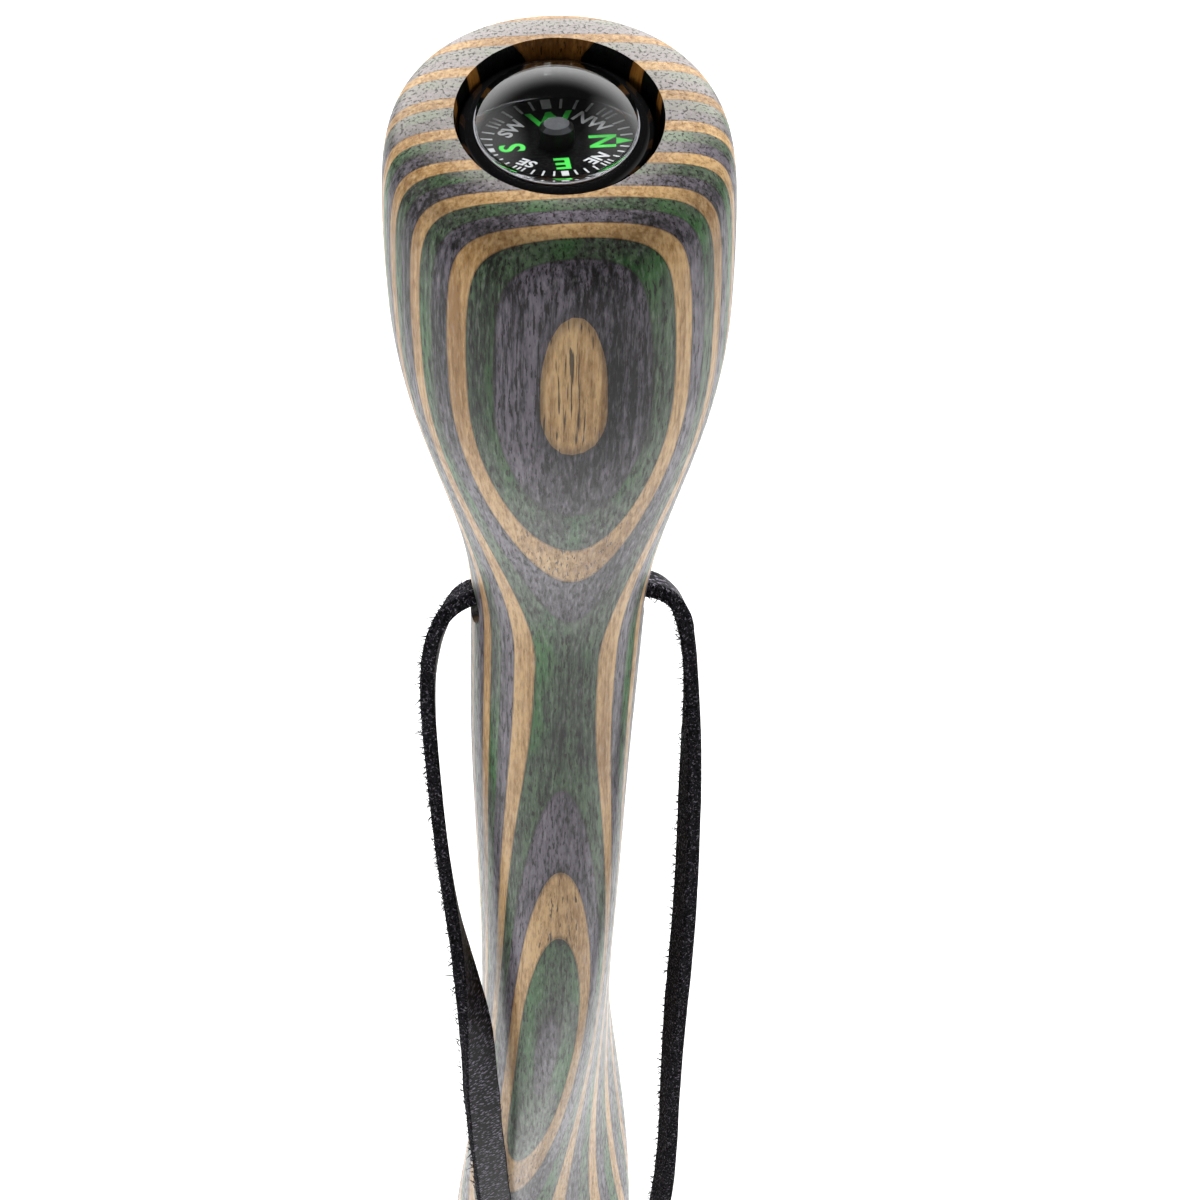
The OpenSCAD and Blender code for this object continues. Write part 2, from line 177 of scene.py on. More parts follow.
def joined(parts: Iterable[Solid]) -> Solid:
    """Joins the points and faces of several solids.

    Args:
        parts: Points and faces of each solid.

    Returns:
        All points, and the faces with their new corner indices.
    """
    verts: list[np.ndarray] = []
    faces: Faces = []
    count = 0
    for points, corners in parts:
        verts.append(points)
        faces += [[i + count for i in f] for f in corners]
        count += len(points)
    return np.concatenate(verts), faces


def outward(obj: Piece) -> Piece:
    """Turns a closed mesh's faces so that they all look outward.

    Args:
        obj: The mesh object.

    Returns:
        The same object.
    """
    bm = bmesh.new()
    bm.from_mesh(obj.data)
    bmesh.ops.recalc_face_normals(bm, faces=bm.faces)
    bm.to_mesh(obj.data)
    bm.free()
    return obj


def lathe(name: str, profile: Sequence[tuple[float, float]], count: int, smooth_deg: float) -> Piece:
    """Turns a closed profile, which starts and ends on the axis, about Z.

    Args:
        name: Name of the piece.
        profile: Radius and height of each point, in mm.
        count: Points round the axis.
        smooth_deg: Edges sharper than this stay sharp.

    Returns:
        The turned piece.
    """
    turn = around(count)
    rows = []
    for r, z in profile[1:-1]:
        rows.append(np.column_stack([r * np.cos(turn), r * np.sin(turn), np.full(count, z)]))
    ends = [np.array([(0.0, 0.0, z)]) for _, z in (profile[0], profile[-1])]
    verts = np.concatenate([ends[0], *rows, ends[1]])
    last = len(verts) - 1
    faces = [[i + 1 for i in f[::-1]] for f in ring_faces(len(rows), count, caps=False)]
    for j in range(count):
        k = (j + 1) % count
        faces.append([0, 1 + j, 1 + k])
        faces.append([last, last - count + k, last - count + j])
    return outward(mesh_object(name, verts * MM, faces, smooth_deg))


def hoop(name: str, section: Sequence[tuple[float, float]], count: int = 160) -> Piece:
    """Turns a closed section, which stays clear of the axis, about Z.

    Args:
        name: Name of the piece.
        section: Radius and height of each corner, in mm.
        count: Points round the axis.

    Returns:
        The ring.
    """
    turn = around(count)[:, None]
    reach, height = np.array(section).T[:, None, :]
    verts = np.stack([reach * np.cos(turn), reach * np.sin(turn), height + 0 * turn], 2).reshape(-1, 3)
    corners = len(section)
    faces = []
    for low in range(0, count * corners, corners):
        high = (low + corners) % (count * corners)
        for j in range(corners):
            k = (j + 1) % corners
            faces.append([low + j, high + j, high + k, low + k])
    return outward(mesh_object(name, verts * MM, faces))


def applied(obj: Piece) -> Piece:
    """Bakes an object's modifiers into its mesh.

    Args:
        obj: The object.

    Returns:
        The same object.
    """
    graph = bpy.context.evaluated_depsgraph_get()
    baked = bpy.data.meshes.new_from_object(obj.evaluated_get(graph))
    obj.modifiers.clear()
    obj.data = baked
    return obj


def curve_through(points: np.ndarray, steps: int) -> np.ndarray:
    """Runs a smooth curve through points, with equal steps between each pair.

    Args:
        points: Points to pass, one per row, of any width.
        steps: Parts that each stretch is cut into.

    Returns:
        Points along the curve.
    """
    at = run_of(points)
    chord = np.diff(at)
    slope = np.gradient(points, at, axis=0)
    out = []
    for i, h in enumerate(chord):
        for t in np.linspace(0, 1, steps, endpoint=False):
            a, b = 2 * t**3 - 3 * t**2 + 1, t**3 - 2 * t**2 + t
            c, d = 3 * t**2 - 2 * t**3, t**3 - t**2
            out.append(a * points[i] + b * h * slope[i] + c * points[i + 1] + d * h * slope[i + 1])
    out.append(points[-1])
    return np.array(out)


# Node trees


@dataclass(frozen=True)
class Cloud:
    """Cloudy noise: cycles per mm along X, Y and Z, octaves, and share of the finer ones."""

    stretch: Point
    detail: float = 2.0
    roughness: float = 0.5


class NodeGraph:
    """A node tree, with short ways to add and join its nodes."""

    def __init__(self, tree: bpy.types.NodeTree) -> None:
        """Takes the tree that nodes are added to."""
        self.tree = tree

    def add(self, kind: str, **settings: object) -> bpy.types.Node:
        """Adds a node.

        Args:
            kind: Blender's name of the node's type.
            **settings: Properties of the node.

        Returns:
            The node.
        """
        node = self.tree.nodes.new(kind)
        for key, value in settings.items():
            setattr(node, key, value)
        return node

    def put(self, socket: Socket, value: object) -> None:
        """Joins a socket to another, or sets its value.

        Args:
            socket: The input.
            value: An output to join, or a plain value.
        """
        if isinstance(value, Socket):
            self.tree.links.new(value, socket)
        elif isinstance(value, tuple) and len(value) == 3 and socket.type == "RGBA":
            socket.default_value = (*value, 1.0)
        else:
            socket.default_value = value

    def split(self, vector: Socket) -> Sequence[Socket]:
        """Splits a vector.

        Args:
            vector: The vector's socket.

        Returns:
            The sockets of its X, Y and Z.
        """
        node = self.add("ShaderNodeSeparateXYZ")
        self.put(node.inputs[0], vector)
        return node.outputs

    def math(self, operation: str, a: object, b: object = 0.0) -> Socket:
        """Adds a sum on one or two values.

        Args:
            operation: Blender's name of it.
            a, b: Outputs or numbers.

        Returns:
            The result's socket.
        """
        node = self.add("ShaderNodeMath", operation=operation)
        self.put(node.inputs[0], a)
        self.put(node.inputs[1], b)
        return node.outputs[0]

    def product(self, first: Socket, *others: object) -> Socket:
        """Multiplies values.

        Args:
            first: The first one.
            *others: Outputs or numbers that it is multiplied by.

        Returns:
            The result's socket.
        """
        for other in others:
            first = self.math("MULTIPLY", first, other)
        return first

    def reach(self, place: Sequence[Socket]) -> Socket:
        """Gives the distance of a split place from the Z axis."""
        squares = [self.math("POWER", place[i], 2.0) for i in (0, 1)]
        return self.math("SQRT", self.math("ADD", *squares))

    def ramp(self, value: Socket, low: float, high: float, start: float = 0.0, end: float = 1.0) -> Socket:
        """Maps a value smoothly from one stretch to another.

        Args:
            value: The value's socket.
            low, high: The stretch it is read over.
            start, end: The results at low and high.

        Returns:
            The result's socket.
        """
        node = self.add("ShaderNodeMapRange", interpolation_type="SMOOTHSTEP")
        for socket, given in zip(node.inputs, (value, low, high, start, end)):
            self.put(socket, given)
        return node.outputs[0]


class Graph(NodeGraph):
    """Node tree of one material, with patterns on the place in mm."""

    def __init__(self, name: str) -> None:
        """Starts a material with one principled shader.

        Args:
            name: Name of the material.
        """
        self.material = bpy.data.materials.new(name)
        self.material.use_nodes = True
        super().__init__(self.material.node_tree)
        self.shader = self.tree.nodes["Principled BSDF"]

    def set(self, **values: object) -> None:
        """Sets or joins inputs of the shader.

        Args:
            **values: Input names with underscores for spaces, and their values.
        """
        for key, value in values.items():
            self.put(self.shader.inputs[key.replace("_", " ")], value)

    def mix(self, share: object, a: object, b: object, blend: str = "MIX") -> Socket:
        """Mixes two colours.

        Args:
            share: How much of the second one is taken.
            a, b: Outputs or colours.
            blend: Blender's name of the way they mix.

        Returns:
            The result's socket.
        """
        node = self.add("ShaderNodeMix", data_type="RGBA", blend_type=blend)
        for i, value in ((0, share), (6, a), (7, b)):
            self.put(node.inputs[i], value)
        return node.outputs[2]

    def place(self, stretch: Point = (1.0, 1.0, 1.0)) -> Socket:
        """Gives the place on the object in mm, each way times a factor.

        Args:
            stretch: Factor along X, Y and Z.

        Returns:
            The vector's socket.
        """
        where = self.add("ShaderNodeTexCoord")
        scaled = self.add("ShaderNodeVectorMath", operation="MULTIPLY")
        self.put(scaled.inputs[0], where.outputs["Object"])
        scaled.inputs[1].default_value = tuple(s / MM for s in stretch)
        return scaled.outputs[0]

    def normal(self) -> Sequence[Socket]:
        """Gives the surface's direction, split into X, Y and Z."""
        return self.split(self.add("ShaderNodeNewGeometry").outputs["Normal"])

    def noise(self, cloud: Cloud) -> Socket:
        """Adds cloudy noise on the place in mm.

        Args:
            cloud: Its sizes.

        Returns:
            The noise, about 0 to 1.
        """
        node = self.add("ShaderNodeTexNoise")
        self.put(node.inputs["Vector"], self.place(cloud.stretch))
        self.put(node.inputs["Scale"], 1.0)
        self.put(node.inputs["Detail"], cloud.detail)
        self.put(node.inputs["Roughness"], cloud.roughness)
        return node.outputs[0]

    def cells(self, stretch: Point) -> Socket:
        """Adds a pattern of cells on the place in mm.

        Args:
            stretch: Cells per mm along X, Y and Z.

        Returns:
            The distance from each cell's middle.
        """
        node = self.add("ShaderNodeTexVoronoi", feature="F1")
        self.put(node.inputs["Vector"], self.place(stretch))
        self.put(node.inputs["Scale"], 1.0)
        return node.outputs["Distance"]

    def bump(self, height: Socket, depth: float, strength: float) -> None:
        """Raises the surface's shading by a height.

        Args:
            height: The height's socket, 0 to 1.
            depth: What 1 means, in mm.
            strength: Share of it that shows.
        """
        node = self.add("ShaderNodeBump")
        self.put(node.inputs["Strength"], strength)
        self.put(node.inputs["Distance"], depth * MM)
        self.put(node.inputs["Height"], height)
        self.put(self.shader.inputs["Normal"], node.outputs[0])


# Finishes


@dataclass(frozen=True)
class LaminateFinish:
    """Dyed veneer plies under a satin lacquer, as one solid pattern on the place in the wood."""

    ply_t: float = 1.6
    plies_front: float = 13.8
    ply_waver: float = 0.5
    waver: Cloud = Cloud((0.06, 0.06, 0.014))
    ply_shade: Fade = (0.0, 1.0, 0.0, 0.14)
    glue_line: Fade = (0.08, 0.015, 0.0, 0.45)
    natural: tuple[Color, Color] = (srgb(150, 112, 66), srgb(203, 167, 117))
    purple: tuple[Color, Color] = (srgb(10, 9, 12), srgb(104, 97, 108))
    green: tuple[Color, Color] = (srgb(8, 15, 10), srgb(80, 101, 75))
    leaf: Color = srgb(44, 108, 40)
    leaf_patch: Cloud = Cloud((0.16, 0.16, 0.03))
    leaf_share: Fade = (0.48, 0.68, 0.0, 0.6)
    streak: Cloud = Cloud((1.3, 1.3, 0.025), 4.0, 0.62)
    patch: Cloud = Cloud((0.11, 0.11, 0.03), 3.0, 0.55)
    flame: Cloud = Cloud((2.4, 2.4, 0.45), 3.0, 0.6)
    tone_parts: tuple[float, float, float] = (0.4, 0.3, 0.3)
    tone: Fade = (0.4, 0.61, 0.0, 1.0)
    fine: Cloud = Cloud((2.7, 2.7, 0.28), 3.0, 0.6)
    pore: Color = (0.012, 0.009, 0.008)
    pore_open: Fade = (0.56, 0.61, 0.0, 1.0)
    pore_dyed: Fade = (0.0, 1.0, 0.2, 0.9)
    dash: Cloud = Cloud((3.4, 3.4, 0.11))
    dash_open: Fade = (0.6, 0.66, 0.0, 0.85)
    flat_sawn: Fade = (0.86, 0.95, 0.0, 1.0)
    # Painted sheen: a pale grey haze mixed in where the fine grain noise is low, standing in for the
    # lacquer's silky reflection.
    painted_silk_sheen: Color = (0.7, 0.68, 0.66)
    silk_sheen_share: Fade = (0.45, 0.32, 0.0, 0.08)
    # Painted sheen: a pale wash on surfaces that face up and back, strongest on the dyed plies and weaker in
    # the pores, standing in for the reflection of the light from behind.
    painted_top_sheen: Color = srgb(190, 184, 180)
    top_sheen_rise: Fade = (0.2, 0.85, 0.0, 1.0)
    top_sheen_back: Fade = (-0.14, 0.06, 0.1, 1.0)
    top_sheen_fine: Fade = (0.53, 0.62, 0.6, 0.24)
    top_sheen_dyed: Fade = (0.0, 1.0, 0.35, 1.0)
    # Darkening of the wall of the compass seat: the tan plies turn brown and the dyed ones near black.
    tan_wall_darkening: Color = (0.5, 0.34, 0.14)
    dyed_wall_darkening: Color = (0.03, 0.03, 0.03)
    seat_reach: float = 13.0
    seat_low: float = 1386.0
    wall_rise: float = 0.75
    roughness: Fade = (0.4, 0.7, 0.36, 0.55)
    specular: float = 0.15
    coat: float = 0.32
    coat_roughness: float = 0.22
    coat_ior: float = 1.4
    streak_h: float = 0.5
    bump_depth: float = 0.06
    bump_share: float = 0.8

    @staticmethod
    def past(g: Graph, turn: Socket, dye: Dye) -> Socket:
        """Finds the plies that come after a dye in the order."""
        return g.math("GREATER_THAN", turn, dye.value + 0.5)

    def dyed(self, g: Graph, index: Socket, turn: Socket, tone: Socket) -> Socket:
        """Picks each ply's colour by its place in the stack.

        Args:
            g: The material's graph.
            index: The ply's number from the front.
            turn: Its place in the order of the dyes.
            tone: Light and dark of the grain, 0 to 1.

        Returns:
            The colour's socket.
        """
        lush = g.ramp(g.noise(self.leaf_patch), *self.leaf_share)
        green = g.mix(lush, g.mix(tone, *self.green), self.leaf)
        natural, purple = g.mix(tone, *self.natural), g.mix(tone, *self.purple)
        picked = g.mix(self.past(g, turn, Dye.NATURAL), natural, purple)
        picked = g.mix(self.past(g, turn, Dye.PURPLE), picked, green)
        each = g.add("ShaderNodeTexWhiteNoise", noise_dimensions="1D")
        g.put(each.inputs["W"], index)
        return g.mix(g.ramp(each.outputs["Value"], *self.ply_shade), picked, self.pore)

    def seat_wall(self, g: Graph, place: Sequence[Socket], rise: Socket) -> Socket:
        """Finds the wall of the compass seat, which is drawn darker.

        Args:
            g: The material's graph.
            place: The place in mm, split.
            rise: How far the surface looks up, -1 to 1.

        Returns:
            1 on the wall and 0 elsewhere.
        """
        inside = g.math("LESS_THAN", g.reach(place), self.seat_reach)
        high = g.math("GREATER_THAN", place[2], self.seat_low)
        return g.product(inside, high, g.math("LESS_THAN", rise, self.wall_rise))

    def material(self) -> bpy.types.Material:
        """Builds the material.

        Returns:
            The material.
        """
        g = Graph("laminate")
        place, normal = g.split(g.place()), g.normal()
        waver = g.product(g.math("SUBTRACT", g.noise(self.waver), 0.5), self.ply_waver)
        depth = g.math("DIVIDE", g.math("ADD", place[1], waver), self.ply_t)
        count = g.math("ADD", depth, self.plies_front)
        index = g.math("FLOOR", count)
        share = g.math("SUBTRACT", count, index)
        turn = g.math("FLOORED_MODULO", index, float(len(Dye)))

        fine, streak = g.noise(self.fine), g.noise(self.streak)
        clouds = (streak, g.noise(self.patch), g.noise(self.flame))
        parts = [g.product(cloud, part) for cloud, part in zip(clouds, self.tone_parts)]
        tone = g.math("ADD", g.math("ADD", parts[0], parts[1]), parts[2])
        picked = self.dyed(g, index, turn, g.ramp(tone, *self.tone))

        pores = g.ramp(fine, *self.pore_open)
        picked = g.mix(g.product(pores, g.ramp(turn, *self.pore_dyed)), picked, self.pore)
        flat_sawn = g.ramp(g.math("ABSOLUTE", normal[1]), *self.flat_sawn)
        dashes = g.ramp(g.noise(self.dash), *self.dash_open)
        picked = g.mix(g.product(dashes, flat_sawn), picked, self.pore)
        # Painted sheen: a little pale grey where the fine grain noise is low.
        picked = g.mix(g.ramp(fine, *self.silk_sheen_share), picked, self.painted_silk_sheen)
        edge = g.math("MINIMUM", share, g.math("SUBTRACT", 1.0, share))
        picked = g.mix(g.ramp(edge, *self.glue_line), picked, self.pore)

        # Painted sheen: pales the surfaces that face up and back, towards the light from behind.
        pale = g.product(g.ramp(normal[2], *self.top_sheen_rise), g.ramp(normal[1], *self.top_sheen_back),
                         g.ramp(fine, *self.top_sheen_fine), g.ramp(turn, *self.top_sheen_dyed))
        picked = g.mix(pale, picked, self.painted_top_sheen)
        # Darkens the wall of the compass seat: the tan plies brown and the dyed ones near black.
        wall_darkening = g.mix(self.past(g, turn, Dye.NATURAL), self.tan_wall_darkening, self.dyed_wall_darkening)
        picked = g.mix(self.seat_wall(g, place, normal[2]), picked, g.mix(1.0, picked, wall_darkening, "MULTIPLY"))
        g.set(Base_Color=picked, Roughness=g.ramp(fine, *self.roughness), Specular_IOR_Level=self.specular,
              Coat_Weight=self.coat, Coat_Roughness=self.coat_roughness, Coat_IOR=self.coat_ior)
        height = g.math("SUBTRACT", g.product(streak, self.streak_h), pores)
        g.bump(height, self.bump_depth, self.bump_share)
        return g.material


@dataclass(frozen=True)
class PlasticFinish:
    """Moulded plastic, paint or metal of one even colour with a faint mould grain, and where sides is given
    a painted shade on the surfaces that don't face up.
    """

    name: str
    color: Color
    roughness: float = 0.35
    metallic: float = 0.0
    glow: float = 0.0
    grain: float = 0.02
    specular: float = 0.5
    # Painted shade: a darker colour for the surfaces that don't face up.
    sides: Color | None = None
    top_rise: float = 0.8
    speck: Cloud = Cloud((3.0, 3.0, 3.0), 3.0)
    speck_span: Span = (0.3, 0.7)
    dark: float = 0.8
    sheen: float = 0.15
    bump_share: float = 0.4

    def material(self) -> bpy.types.Material:
        """Builds the material.

        Returns:
            The material.
        """
        g = Graph(self.name)
        grain = g.noise(self.speck)
        picked = g.mix(grain, tuple(c * self.dark for c in self.color), self.color)
        # Painted shade on the sides, under a lit top.
        if self.sides:
            picked = g.mix(g.math("GREATER_THAN", g.normal()[2], self.top_rise), self.sides, picked)
        smooth, rough = self.roughness * (1 - self.sheen), self.roughness * (1 + self.sheen)
        g.set(Base_Color=picked, Metallic=self.metallic, Specular_IOR_Level=self.specular,
              Roughness=g.ramp(grain, *self.speck_span, smooth, rough))
        if self.glow:
            g.set(Emission_Color=self.color, Emission_Strength=self.glow)
        if self.grain:
            g.bump(grain, self.grain, self.bump_share)
        return g.material


@dataclass(frozen=True)
class ClearFinish:
    """Clear acrylic with the liquid behind it."""

    ior: float = 1.47
    coat_ior: float = 2.1
    tint: Color = (0.97, 0.98, 0.98)

    def material(self) -> bpy.types.Material:
        """Builds the material.

        Returns:
            The material.
        """
        g = Graph("clear_dome")
        g.set(Base_Color=self.tint, Roughness=0.0, IOR=self.ior, Transmission_Weight=1.0,
              Coat_Weight=1.0, Coat_Roughness=0.0, Coat_IOR=self.coat_ior)
        return g.material


@dataclass(frozen=True)
class LeatherFinish:
    """Black leather: the pebbled grain side, the rough flesh side or a cut edge."""

    side: Side
    color: Color = srgb(46, 44, 50)
    # The ridge colour is a painted sheen on the tops of the pebbles. The groove colour is painted shade in
    # the grooves between them, and on the rough sides the dark end of the felt's cloudy tone.
    painted_ridge_sheen: Color = srgb(140, 133, 150)
    crease_shade_and_dark_felt: Color = srgb(7, 7, 8)
    fleck: Color = srgb(128, 124, 133)
    fluff: Cloud = Cloud((2.6, 2.6, 1.8), 4.0, 0.7)
    pebbles: Point = (1.15, 1.15, 2.0)
    pebble_top: Fade = (0.22, 0.5, 1.0, 0.0)
    ridge_sheen_share: Fade = (0.4, 0.6, 0.15, 1.0)
    fine: Cloud = Cloud((6.0, 6.0, 6.0))
    fine_h: float = 0.25
    grain_roughness: Fade = (0.3, 0.7, 0.42, 0.58)
    grain_specular: float = 0.12
    grain_depth: float = 0.14
    hair: Cloud = Cloud((2.6, 2.6, 1.7), 3.0, 0.7)
    hair_span: Span = (0.56, 0.64)
    hair_h: float = 0.4
    felt: Fade = (0.4, 0.7, 0.0, 1.0)
    felt_roughness: float = 0.95
    felt_specular: float = 0.06
    flesh_depth: float = 0.4
    flesh_flecks: float = 1.0
    edge_depth: float = 0.3
    edge_flecks: float = 0.85
    bump_share: float = 0.9

    def pebbled(self, g: Graph, fluff: Socket) -> None:
        """Dresses the grain side.

        Args:
            g: The material's graph.
            fluff: Cloudy light and dark, 0 to 1.
        """
        # Painted light on the grain side: the pebbles' tops take a painted sheen and the grooves between
        # them a painted shade.
        pebble = g.ramp(g.cells(self.pebbles), *self.pebble_top)
        fine = g.noise(self.fine)
        tops = g.mix(g.ramp(fluff, *self.ridge_sheen_share), self.color, self.painted_ridge_sheen)
        g.set(Base_Color=g.mix(pebble, self.crease_shade_and_dark_felt, tops), Roughness=g.ramp(fine, *self.grain_roughness),
              Specular_IOR_Level=self.grain_specular)
        g.bump(g.math("ADD", pebble, g.product(fine, self.fine_h)), self.grain_depth, self.bump_share)

    def felted(self, g: Graph, fluff: Socket, depth: float, flecks: float) -> None:
        """Dresses a rough side.

        Args:
            g: The material's graph.
            fluff: Cloudy light and dark, 0 to 1.
            depth: Depth of the felt.
            flecks: How much its flecks show.
        """
        hair = g.ramp(g.noise(self.hair), *self.hair_span, 0.0, flecks)
        felt = g.mix(g.ramp(fluff, *self.felt), self.crease_shade_and_dark_felt, self.color)
        g.set(Base_Color=g.mix(hair, felt, self.fleck), Roughness=self.felt_roughness,
              Specular_IOR_Level=self.felt_specular)
        g.bump(g.math("ADD", fluff, g.product(hair, self.hair_h)), depth, self.bump_share)

    def material(self) -> bpy.types.Material:
        """Builds the material.

        Returns:
            The material.
        """
        g = Graph(f"leather_{self.side.name.lower()}")
        fluff = g.noise(self.fluff)
        if self.side is Side.GRAIN:
            self.pebbled(g, fluff)
        elif self.side is Side.FLESH:
            self.felted(g, fluff, self.flesh_depth, self.flesh_flecks)
        else:
            self.felted(g, fluff, self.edge_depth, self.edge_flecks)
        return g.material


@dataclass(frozen=True)
class RubberFinish:
    """Matt black rubber with a faint bloom."""

    color: Color = (0.028, 0.028, 0.029)
    bloom: Color = (0.05, 0.05, 0.052)
    bloom_patch: Cloud = Cloud((0.08, 0.08, 0.08), 4.0)
    bloom_share: Fade = (0.4, 0.75, 0.0, 1.0)
    fine: Cloud = Cloud((4.0, 4.0, 4.0))
    roughness: Fade = (0.3, 0.7, 0.62, 0.78)
    bump_depth: float = 0.05
    bump_share: float = 0.5

    def material(self) -> bpy.types.Material:
        """Builds the material.

        Returns:
            The material.
        """
        g = Graph("rubber")
        fine = g.noise(self.fine)
        bloom = g.ramp(g.noise(self.bloom_patch), *self.bloom_share)
        g.set(Base_Color=g.mix(bloom, self.color, self.bloom), Roughness=g.ramp(fine, *self.roughness))
        g.bump(fine, self.bump_depth, self.bump_share)
        return g.material


def dress(obj: Piece, *finishes: bpy.types.Material) -> Piece:
    """Gives a piece its materials, in slot order.

    Args:
        obj: The piece.
        *finishes: The materials.

    Returns:
        The same piece.
    """
    obj.data.materials.clear()
    for material in finishes:
        obj.data.materials.append(material)
    return obj


def dress_nodes(finishes: dict[str, PlasticFinish | RubberFinish]) -> None:
    """Dresses CAD nodes that are shown as they are.

    Args:
        finishes: The finish of each node, by the node's name.
    """
    for name, finish in finishes.items():
        dress(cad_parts[name], finish.material())
        LOG.info("piece %s", name)


def enter(piece: Piece, body: Body, slot: str, *nodes: str) -> Piece:
    """Enters a piece in the frame and reports it.

    Args:
        piece: The piece.
        body: The CAD body that it rides on.
        slot: The material slot that it belongs to. Not used.
        *nodes: The CAD nodes that it stands for.

    Returns:
        The same piece.
    """
    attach(piece, body.value)
    if nodes:
        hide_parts(*nodes)
    LOG.info("piece %s", piece.name)
    return piece


# Wood


@dataclass(frozen=True)
class StaffForm:
    """The carved form: sections by their distance below the crown."""

    staff_h: float = 1397.0
    head_w: float = 41.4
    head_d: float = 41.6
    head_n: float = 2.1
    crown_h: float = 20.0
    crown_n: float = 7.2
    barrel_drop: float = 23.5
    barrel_in: float = 1.1
    head_full: float = 27.0
    neck_drop: float = 93.0
    neck_w: float = 24.4
    neck_d: float = 26.8
    neck_bow: float = 1.0
    bow_drop: float = 71.0
    bow_len: float = 75.0
    neck_turn_deg: float = 9.0
    swell_start: float = 101.0
    swell_end: float = 204.0
    shaft_wide: float = 38.4
    shaft_thin: float = 22.6
    shaft_wide_low: float = 34.5
    twist_pitch: float = 530.0
    twist_start: float = 167.0
    twist_ramp: float = 80.0
    tenon_d: float = 22.0
    fade_len: float = 150.0
    tenon_drop: float = 1349.0
    foot_drop: float = 1387.4
    round_n: float = 2.0
    # Rings on the crown's flat top, as shares of its width: from, to and how many.
    top_rings: tuple[tuple[float, float, int], ...] = ((0.4, 0.84, 12), (0.86, 0.99, 16))
    crown_rings: int = 14
    head_step: float = 1.5
    neck_step: float = 2.5
    shaft_step: float = 5.0

    @staticmethod
    def fall(t: float) -> float:
        """Falls smoothly from 1, before a stretch, to 0 after it."""
        return 1.0 if t <= 0 else 0.0 if t >= 1 else (1 + math.cos(math.pi * t)) / 2

    @staticmethod
    def between(a: float, b: float, t: float) -> float:
        """Mixes two sizes, by the share of the second one."""
        return a + (b - a) * t

    def twist(self, drop: float) -> float:
        """Turn of the shaft's wide way.

        Args:
            drop: Distance below the crown.

        Returns:
            The turn from front-to-back, in radians.
        """
        past, ramp = max(drop - self.twist_start, 0.0), self.twist_ramp
        run = past**2 / (2 * ramp) if past < ramp else past - ramp / 2
        return FULL_TURN / self.twist_pitch * run

    def section(self, drop: float) -> tuple[float, float, float, float, float]:
        """One section.

        Args:
            drop: Distance below the crown.

        Returns:
            Half width, half depth, sideways lean, squareness and sideways bow.
        """
        fade_drop = self.tenon_drop - self.fade_len
        head = self.fall((drop - self.head_full) / (self.neck_drop - self.head_full))
        shaft = 1 - self.fall((drop - self.swell_start) / (self.swell_end - self.swell_start))
        tenon = 1 - self.fall((drop - fade_drop) / self.fade_len)
        down = min(max((drop - self.swell_end) / (fade_drop - self.swell_end), 0.0), 1.0)
        wide = self.between(self.shaft_wide, self.shaft_wide_low, down)

        def half(neck_size: float, head_size: float, shaft_size: float) -> float:
            """Half of one way's size, mixed from the sizes of the neck, head, shaft and tenon."""
            above = self.between(self.between(neck_size, head_size, head), shaft_size, shaft)
            return self.between(above, self.tenon_d, tenon) / 2

        p = half(self.neck_d, self.head_d, wide)
        q = half(self.neck_w, self.head_w, self.shaft_thin)
        t = self.twist(drop) - math.radians(self.neck_turn_deg) * (1 - head) * (1 - shaft)
        s = 1 - 2 * self.barrel_in / self.head_d * max(1 - drop / self.barrel_drop, 0.0) ** 2
        if drop < self.crown_h:
            s *= (1 - (1 - max(drop, 0.0) / self.crown_h) ** self.crown_n) ** (1 / self.crown_n)
        b = math.hypot(p * math.cos(t), q * math.sin(t))
        lean = (p * p - q * q) * math.sin(t) * math.cos(t) / (b * b)
        bow = self.neck_bow * self.fall(abs(drop - self.bow_drop) / self.bow_len)
        return p * q / b * s, b * s, lean, self.between(self.round_n, self.head_n, head), bow

    def stations(self) -> list[float]:
        """Levels that the mesh is built through.

        Returns:
            Distances below the crown, from the crown down.
        """
        shares = np.concatenate([np.linspace(*rings) for rings in self.top_rings])
        flat = [self.crown_h * (1 - (1 - u**self.crown_n) ** (1 / self.crown_n)) for u in shares]
        return [
            *flat,
            *np.linspace(flat[-1], self.crown_h, self.crown_rings)[1:],
            *np.arange(self.crown_h + self.head_step, self.neck_drop, self.head_step),
            *np.arange(self.neck_drop, self.swell_end, self.neck_step),
            *np.arange(self.swell_end, self.tenon_drop, self.shaft_step),
            self.tenon_drop,
            self.foot_drop,
        ]


